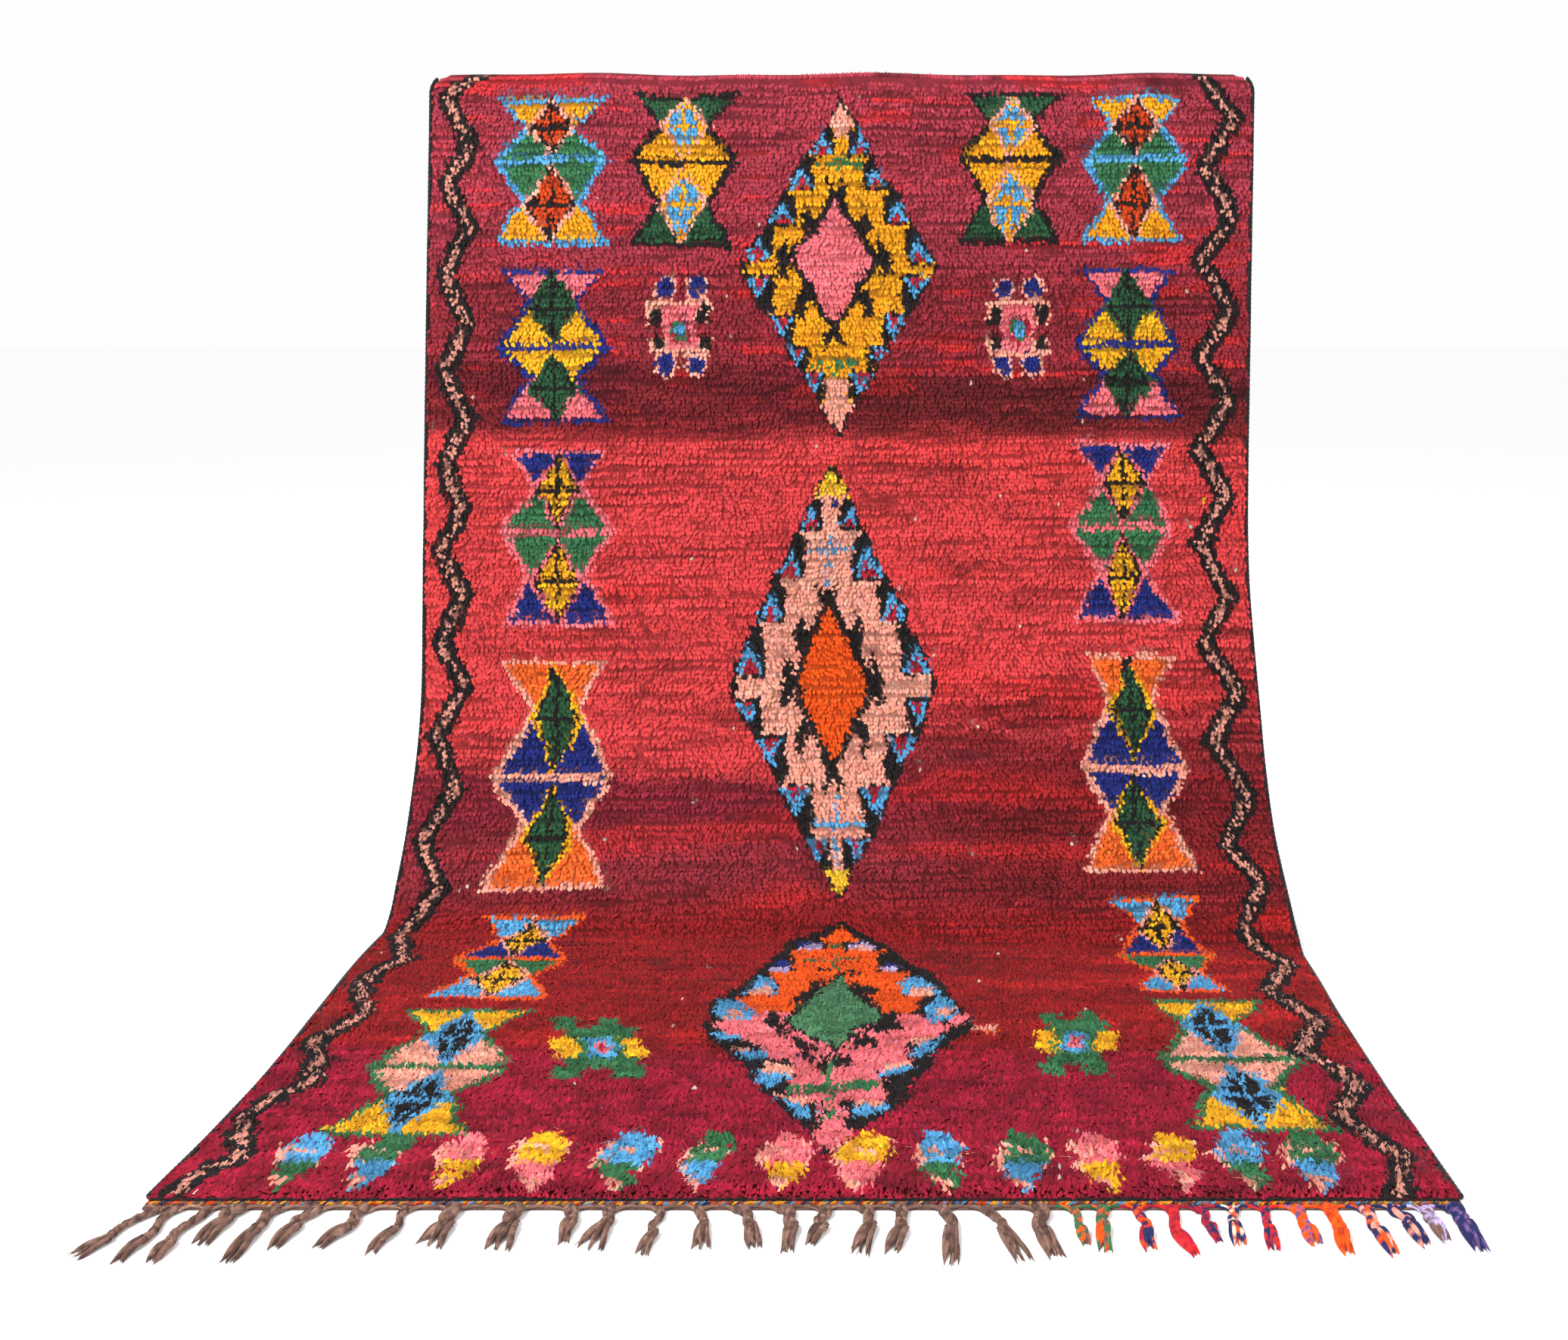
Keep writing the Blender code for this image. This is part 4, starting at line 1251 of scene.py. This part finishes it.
def make_foundation(cloth, material, colour):
    """The woven ground with the knots' feet, one closed sheet with its flat-woven end."""
    columns, rows = FOUNDATION_COLUMNS, FOUNDATION_ROWS
    across, part = np.meshgrid(np.linspace(-1, 1, columns + 1), np.linspace(0, 1, rows + 1))
    place, _, _, out = cloth.frames(across, part)
    length = cloth.length(across)
    rim = np.minimum(np.minimum((1 - np.abs(across)) * WIDTH / 2, part * length) / 0.02, 1)
    flat = ease((part * length - (length - FLAT_END - 0.008)) / 0.006)
    laid = ease((part * length - 1.7) / 0.5)
    rise = (0.0040 + (0.0044 + 0.0030 * laid) * ease(rim)) * (1 - flat) + 0.0048 * flat
    back = place + out * (0.0002 - PILE / 2)
    front = place + out * (rise - PILE / 2)[..., None]
    start, run = knotted(length)
    row = np.clip(np.searchsorted(row_shares(), (part * length - start - 0.006) / run), 0, ROWS - 1)
    column = np.clip(((across + 1) / 2 * COLUMNS).astype(int), 0, COLUMNS - 1)
    tint = colour[row, column]
    # Painted shade: the front, seen between the lobes, is the knots' colour darkened, less so on the floor;
    # at the flat-woven end it turns maroon
    front_tint = mix(tint * (0.34 + 0.14 * laid)[..., None], dye("maroon"), flat)
    index = np.arange((rows + 1) * (columns + 1)).reshape(rows + 1, columns + 1)
    cells = np.stack([index[:-1, :-1], index[1:, :-1], index[1:, 1:], index[:-1, 1:]], -1).reshape(-1, 4)
    border = np.concatenate([index[0, :-1], index[:-1, -1], index[-1, :0:-1], index[:0:-1, 0]])
    following = np.roll(border, -1)
    other = index.size
    sides = np.stack([border, following, following + other, border + other], -1)
    points = np.concatenate([back.reshape(-1, 3), front.reshape(-1, 3)])
    tints = np.concatenate([tint.reshape(-1, 3) * 0.8, front_tint.reshape(-1, 3)])
    uv = np.stack([(across + 1) / 4, 1 - part], -1).reshape(-1, 2)
    uvs = np.concatenate([uv, uv + [0.5, 0]])
    faces = np.concatenate([cells[:, ::-1], cells + other, sides[:, ::-1]])
    piece = make_piece("rug_foundation", points, faces, tints, material, uvs)
    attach(piece, "root")
    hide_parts("rug_panel")
    return piece


# Selvedges, heading and fringe


# The overcast cords: radius, height of the centre over the cloth's back, start below the top edge,
# spacing of the rings, points on a ring and the distance between turns of the overcasting yarn
CORD_RADIUS = 0.0040
CORD_LIFT = 0.0052
CORD_START = 0.010
CORD_STEP = 0.0030
CORD_SIDES = 9
CORD_TURN = 0.0105


def make_selvedge(cloth, name, node, hand, material):
    """Cord along one side, overcast with dark yarn."""
    length = float(cloth.length(hand))
    down = np.arange(CORD_START, length, CORD_STEP)
    part = np.minimum(down / length, 1)
    place, _, right, out = cloth.frames(np.full(len(part), float(hand)), part)
    centre = place + out * (CORD_LIFT - PILE / 2) + right * hand * (CORD_RADIUS + GAP - 0.0009)
    sides = CORD_SIDES
    turns = 2 * math.pi * np.arange(sides) / sides
    lean = turns - 2 * math.pi * down[:, None] / CORD_TURN * hand
    swell = 1 + 0.10 * np.cos(lean) + 0.03 * np.sin(37 * down)[:, None]
    around = right[:, None] * np.cos(turns)[:, None] + out[:, None] * np.sin(turns)[:, None]
    ring = centre[:, None] + CORD_RADIUS * swell[..., None] * around
    base = dye("black") * 0.85
    rng = np.random.default_rng(SEED + 5 + int(hand))
    # Painted shade and highlight: the dark overcasting is painted lighter on the ridges of its turns and
    # darker in the grooves between them; a few turns are plum
    tone = (0.75 + 0.45 * (np.cos(lean) > 0.1)) * np.exp(rng.normal(0, 0.12, (len(down), 1)))
    colours = base * tone[..., None]
    hint = (rng.random((len(down), 1)) < 0.05)[..., None]
    colours = np.where(hint, dye("plum") * 0.5, colours)
    n = len(down)
    k = np.arange(sides)
    following = (k + 1) % sides
    ends = np.stack([centre[0], centre[-1]])
    points = np.concatenate([ring.reshape(-1, 3), ends])
    first = np.stack([np.full(sides, n * sides), following, k], -1)
    last = np.stack([np.full(sides, n * sides + 1), (n - 1) * sides + k, (n - 1) * sides + following], -1)
    tints = np.concatenate([colours.reshape(-1, 3), np.stack([base, base])])
    faces = [ring_quads(n, sides), np.concatenate([first, last])]
    piece = make_piece(name, points, faces, tints, material)
    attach(piece, "root")
    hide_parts(node)
    return piece


def hem_ends(cloth):
    across = np.array([-1.0, 1.0])
    ends = cloth.side(across, cloth.length(across)) + cloth.shift[0]
    return float(ends[0]), float(ends[1])


def box_strip(left, right, near, far, low, high, count):
    """Closed strip along x with the given depth and height."""
    xs = np.linspace(left, right, count)
    ring = np.array([[(px, near, low), (px, near, high), (px, far, high), (px, far, low)] for px in xs])
    end = (count - 1) * 4
    quads = np.concatenate([ring_quads(count, 4), [[3, 2, 1, 0], [end, end + 1, end + 2, end + 3]]])
    return ring.reshape(-1, 3), np.concatenate([quads[:, [0, 1, 2]], quads[:, [0, 2, 3]]])


# Fineness of the fibres on the strips under the heading and the fringe
STRIP_GRAIN = 300
# Radius of the heading's yarns, and what the dark line and the chain take for one turn
HEADING_RADIUS = 0.0021
LINE_TURN = 0.021
CHAIN_TURN = 0.015
CHAIN_DYES = "yellow brown light_blue rust umber yellow brown taupe orange navy".split()


def make_band(cloth, material):
    """Twined heading: a dark twined line and a fine chain of many colours, on a tape."""
    left, right = hem_ends(cloth)
    near = cloth.shift[1] - REACH - GAP
    skein = Skein()
    x = np.arange(left + 0.002, right - 0.002, 0.0042)
    rng = np.random.default_rng(SEED + 8)
    for strand in range(2):
        turn = 2 * math.pi * x / LINE_TURN + math.pi * strand
        y = near - 0.0040 + 0.0010 * np.sin(turn)
        z = 0.0044 + 0.0010 * np.cos(turn)
        worn = ease(field(38 + strand, 100 * x, 0 * x, 2.4, 1) * 0.9 - 0.1)
        tint = mix(dye("black"), dye("maroon") * 0.9, worn) * np.exp(rng.normal(0, 0.15, (len(x), 1)))
        skein.tube(np.stack([x, y, z], -1), HEADING_RADIUS, tint, sides=5)
    x = np.arange(left + 0.002, right - 0.002, 0.0036)
    for strand in range(3):
        turn = 2 * math.pi * x / CHAIN_TURN + 2 * math.pi * strand / 3
        y = near - 0.0122 + 0.0022 * np.sin(turn)
        z = 0.0037 + 0.0014 * np.cos(turn)
        block = ((x + 0.004 * strand) / 0.0062).astype(int)
        order = rng.integers(0, len(CHAIN_DYES), 1000)
        names = [CHAIN_DYES[order[(b + 500 + 333 * strand) % 1000]] for b in block]
        tint = np.array([dye(name) for name in names]) * np.exp(rng.normal(0, 0.20, (len(x), 1)))
        tint = tint * 0.56
        skein.tube(np.stack([x, y, z], -1), HEADING_RADIUS, tint, sides=5)
    points, faces = box_strip(left, right, near, near - BAND_DEPTH, 0.0001, 0.0028, 60)
    tint = dye("maroon") * 0.8 * np.exp(rng.normal(0, 0.1, (len(points), 1)))
    skein.add(points, faces, tint, points * STRIP_GRAIN)
    piece = skein.piece("heading", material)
    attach(piece, "root")
    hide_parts("end_band")
    return piece


# The mixes of natural yarn in most of the tassels
DARK_MIX = "brown taupe umber"
PALE_MIX = "taupe umber brown"

# Braided tassels from left to right, in centimetres as in the CAD part: root along the hem,
# stem width, knot to the side and forward, tip to the side and forward, splay, locks, yarns
TASSELS = (
    (-88.6, 1.1, -3.6, 7.0, -6.4, 10.6, 2.6, 4, DARK_MIX),
    (-86.2, 1.1, -1.2, 7.2, -2.6, 12.2, 2.4, 3, PALE_MIX),
    (-81.9, 1.2, -1.6, 7.9, -2.6, 12.0, 1.8, 3, PALE_MIX),
    (-77.6, 1.6, -0.8, 2.6, -2.2, 8.0, 3.2, 4, DARK_MIX),
    (-72.3, 1.4, -1.2, 5.2, -2.2, 11.8, 2.2, 4, DARK_MIX),
    (-66.8, 1.4, -1.6, 4.2, -3.0, 9.0, 1.8, 3, PALE_MIX),
    (-60.1, 1.4, -1.3, 4.6, -4.0, 8.8, 2.4, 3, PALE_MIX),
    (-54.6, 1.0, -0.4, 5.2, -2.0, 10.4, 2.0, 3, PALE_MIX),
    (-48.5, 1.8, 0.2, 3.9, -1.0, 8.2, 5.4, 4, DARK_MIX),
    (-39.8, 1.8, 0.2, 3.8, -0.4, 9.0, 4.6, 4, DARK_MIX),
    (-32.1, 1.6, 0.4, 3.2, 0.3, 7.8, 2.2, 3, PALE_MIX),
    (-26.5, 1.4, -0.4, 3.8, -1.6, 9.0, 4.6, 4, DARK_MIX),
    (-20.2, 1.0, 0.2, 5.7, -0.8, 10.2, 2.6, 4, DARK_MIX),
    (-14.7, 1.2, 1.1, 4.6, 1.3, 8.9, 3.6, 4, DARK_MIX),
    (-9.4, 1.3, 2.3, 4.3, 3.2, 8.7, 2.0, 4, DARK_MIX),
    (-3.4, 1.4, 1.8, 4.1, 1.4, 9.8, 2.2, 4, DARK_MIX),
    (2.4, 1.4, 0.0, 4.3, -1.7, 8.1, 1.9, 3, PALE_MIX),
    (8.0, 1.4, 0.9, 4.0, -0.4, 10.2, 3.2, 4, DARK_MIX),
    (13.1, 1.5, 0.0, 5.0, -1.6, 10.0, 2.4, 3, PALE_MIX),
    (19.0, 1.4, 0.8, 4.8, 0.4, 12.6, 2.4, 4, DARK_MIX),
    (24.6, 1.2, 2.1, 5.0, 4.6, 11.8, 3.2, 4, DARK_MIX),
    (31.8, 1.8, 0.2, 5.5, 1.6, 10.8, 3.0, 4, DARK_MIX),
    (36.6, 1.0, 0.6, 5.0, 0.9, 8.2, 1.6, 3, "green orange brown"),
    (40.6, 1.4, -0.3, 4.0, -0.8, 9.6, 2.4, 4, "green orange brown"),
    (45.6, 1.2, 0.3, 5.2, 0.3, 9.3, 2.6, 3, "red orange navy"),
    (50.0, 1.4, 0.0, 6.4, 1.6, 10.4, 1.6, 3, "red scarlet red"),
    (53.8, 1.0, 0.9, 4.3, 1.4, 7.4, 1.8, 3, "red navy red"),
    (58.6, 1.2, -0.6, 4.0, -0.8, 8.0, 2.2, 4, "navy cream orange"),
    (62.8, 1.1, -0.3, 4.9, -0.8, 9.0, 1.9, 4, "scarlet navy red"),
    (67.2, 1.4, 0.3, 4.9, 0.9, 8.2, 1.8, 3, "orange purple orange"),
    (71.8, 1.6, 0.0, 5.6, -0.2, 10.2, 2.2, 3, "orange rust orange"),
    (76.4, 1.4, 0.5, 5.4, 1.2, 10.5, 2.0, 3, "navy orange salmon"),
    (80.6, 1.4, 0.9, 3.9, 1.8, 8.4, 2.0, 3, "navy salmon navy"),
    (84.6, 1.2, 0.4, 3.2, 0.8, 7.4, 2.0, 3, "lilac brown lilac"),
    (88.4, 1.8, 0.7, 3.6, 0.9, 9.5, 2.6, 4, "navy navy purple"),
)


# Thickness of a lock from its root to its tip
LOCK_SHAPE = (0.66, 0.92, 1.06, 1.08, 0.98, 0.76, 0.45, 0.10)


def raised(heights):
    """Offsets straight up."""
    return np.stack([0 * heights, 0 * heights, heights], -1)


def ply(yarns, own, rng, count):
    """Colours along a strand: its own yarn with turns of the next one plied in."""
    kept = rng.random((count, 1)) < 0.68
    tint = np.where(kept, yarns[own % 3], yarns[(own + 1) % 3])
    return tint * 0.92 * np.exp(rng.normal(0, 0.14, (count, 1)))


def make_tassel(skein, rng, start, row):
    """A flat three-strand braid, a wrapped knot and the loose locks beyond it."""
    _, wide, knot_x, knot_y, tip_x, tip_y, splay, locks, names = row
    yarns = names.split()
    yarns = [dye(yarns[i % len(yarns)]) for i in range(3)]
    knot = start + np.array([knot_x, -knot_y, 0]) * CM
    tip = start + np.array([tip_x, -tip_y, 0]) * CM
    wide = wide * CM * 1.18
    t = np.linspace(0, 0.97, 16)
    sway = rng.uniform(-0.0050, 0.0050)
    bend = np.sin(t * math.pi) * 0.25 * (knot[0] - start[0]) + sway * np.sin(2 * math.pi * t)
    line = start + (knot - start) * t[:, None] + np.stack([bend, 0 * t, 0 * t], -1)
    heading = unit(np.gradient(line, axis=0))
    aside = np.stack([-heading[:, 1], heading[:, 0], 0 * t], -1)
    run = np.linalg.norm(knot - start)
    radius = wide * 0.27
    turn = 2 * math.pi * t * run / (wide * 3.1)
    for strand in range(3):
        phase = turn + 2 * math.pi * strand / 3
        swing = (wide / 2 - radius) * np.sin(phase)
        rise = 0.0004 + radius + 0.40 * radius * (1 + np.sin(2 * phase))
        path = line + aside * swing[:, None] + raised(rise)
        tint = ply(yarns, strand, rng, len(t))
        skein.tube(path, radius * (1 + 0.08 * np.sin(9 * t)), tint, sides=6)
    out = unit(tip - knot)
    across = np.array([-out[1], out[0], 0])
    coil = np.linspace(0, 2.4 * 2 * math.pi, 26)
    half = wide * 0.46
    path = knot + out * ((coil / coil[-1] - 0.5) * wide * 0.60)[:, None]
    path = path + across * (half * np.cos(coil))[:, None] + raised(0.0056 + 0.0030 * np.sin(coil))
    skein.tube(path, 0.0024, yarns[0] * 0.9 * np.exp(rng.normal(0, 0.1, (len(coil), 1))), sides=5)
    reach = np.linalg.norm(tip - knot)
    spread = wide / 2 * 0.9
    t = np.linspace(0, 1, len(LOCK_SHAPE))
    locks = max(locks - 1, 2)
    for i in range(locks):
        fan = (2 * i + 1) / locks - 1
        stretch = reach * (1 - 0.12 * ((i * 3) % locks) / locks) * rng.uniform(0.92, 1.04)
        curl = rng.uniform(-0.0045, 0.0045)
        body = min(wide / locks * 0.52 + 0.0016, 0.0056)
        for strand in (-1, 1):
            offset = spread + (splay * CM / 2 - spread) * t
            twist = strand * body * 0.55 * np.cos(2.2 * t + fan)
            fanned = fan * offset + twist + curl * np.sin(math.pi * t) * t
            size = body * 0.80 * np.array(LOCK_SHAPE)
            rise = size + 0.0002 + 0.0040 * (1 - t) ** 2 + 0.0012 * (1 + strand) * (1 - t)
            end = stretch * (1 - 0.05 * (strand + 1) * rng.random())
            path = knot + out * (end * t)[:, None] + across * fanned[:, None] + raised(rise)
            tint = ply(yarns, i + (strand + 1) // 2, rng, len(t))
            skein.tube(path, size, tint, sides=6)
        fanned = fan * offset * rng.uniform(0.7, 1.25) + curl * t
        rise = 0.0012 + 0.0050 * (1 - t) ** 2
        end = stretch * rng.uniform(0.7, 1.08)
        path = knot + out * (end * t)[:, None] + across * fanned[:, None] + raised(rise)
        skein.tube(path, 0.0010 * (1 - 0.5 * t), yarns[i % 3] * 1.1, sides=4)


def make_hem(skein, rng, cloth, near, row, left, right):
    """Warp ends of one stretch of the hem, gathered from both sides into its tassel."""
    root = row[0] * CM + cloth.shift[0]
    wide = row[1] * CM
    yarns = row[8].split()
    t = np.linspace(0, 1, 8)
    starts = np.concatenate([np.linspace(left, root - 0.004, 5), np.linspace(root + 0.004, right, 5)])
    far = max(root - left, right - root)
    for n, x in enumerate(starts):
        away = (x - root) / far
        gather = ease(t) * (1 - 0.25 * abs(away)) + 0.25 * abs(away) * t
        landing = root + wide * 0.30 * math.copysign(abs(away) ** 0.5, away)
        path_x = x + (landing - x) * gather
        path_y = near - 0.0018 - 0.0115 * t ** (1 + 1.3 * abs(away)) - 0.0014 * (1 - abs(away))
        path_z = 0.0030 + 0.0020 * np.sin(math.pi * t) + 0.0005 * (n % 2)
        tint = dye(yarns[n % len(yarns)]) * np.exp(rng.normal(0, 0.16))
        tint = tint * np.exp(rng.normal(0, 0.08, (len(t), 1)))
        skein.tube(np.stack([path_x, path_y, path_z], -1), 0.0023, tint, sides=5)


def make_fringe(cloth, material):
    """The warp ends: gathered along the heading, then braided into tassels."""
    left, right = hem_ends(cloth)
    near = cloth.shift[1] - REACH - 2 * GAP - BAND_DEPTH
    skein = Skein()
    rng = np.random.default_rng(SEED + 9)
    roots = [row[0] * CM + cloth.shift[0] for row in TASSELS]
    middles = [(a + b) / 2 for a, b in zip(roots, roots[1:])]
    bounds = [left + 0.002, *middles, right - 0.002]
    for row, start, end in zip(TASSELS, bounds, bounds[1:]):
        make_hem(skein, rng, cloth, near, row, start, end)
        first = np.array([row[0] * CM + cloth.shift[0], near - BACKING_DEPTH + 0.001, 0.0])
        make_tassel(skein, rng, first, row)
    points, faces = box_strip(left, right, near, near - 0.0048, 0.0001, 0.0030, 90)
    tint = dye("brown") * 0.7 * np.exp(rng.normal(0, 0.15, (len(points), 1)))
    skein.add(points, faces, tint, points * STRIP_GRAIN)
    piece = skein.piece("braided_fringe", material)
    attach(piece, "root")
    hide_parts("fringe")
    return piece


def main():
    make_camera()
    make_studio()
    cloth = Cloth()
    cells = (COLUMNS * 7, ROWS / 4, 1)
    pile_wool = wool_material("pile_wool_yarn", 1.0, 0.45, 0.03, shade=0.45, knots=cells)
    strand_wool = wool_material("loose_strand_yarn", 900, 0.3, 0.03)
    ground_wool = wool_material("foundation_yarn", 420, 0.6, 0.1)
    cord_wool = wool_material("selvedge_wrap", 800, 0.6, 0.25)
    band_wool = wool_material("heading_yarn", 1.0, 0.6, 0.05, spun=True)
    fringe_wool = wool_material("fringe_braid", 1.0, 0.8, 0.05, shade=0.6, spun=True)
    across, part, x, s = knot_places(cloth)
    colour, worked = knot_colours(x, s)
    pile = make_pile(cloth, pile_wool, across, part, x, s, colour)
    strands = make_strands(cloth, strand_wool, across, part, x, s, colour, worked)
    foundation = make_foundation(cloth, ground_wool, colour)
    cords = [
        make_selvedge(cloth, "overcast_left", "selvedge_left", -1, cord_wool),
        make_selvedge(cloth, "overcast_right", "selvedge_right", 1, cord_wool),
    ]
    band = make_band(cloth, band_wool)
    fringe = make_fringe(cloth, fringe_wool)
    float(cloth.length(0.0))


main()
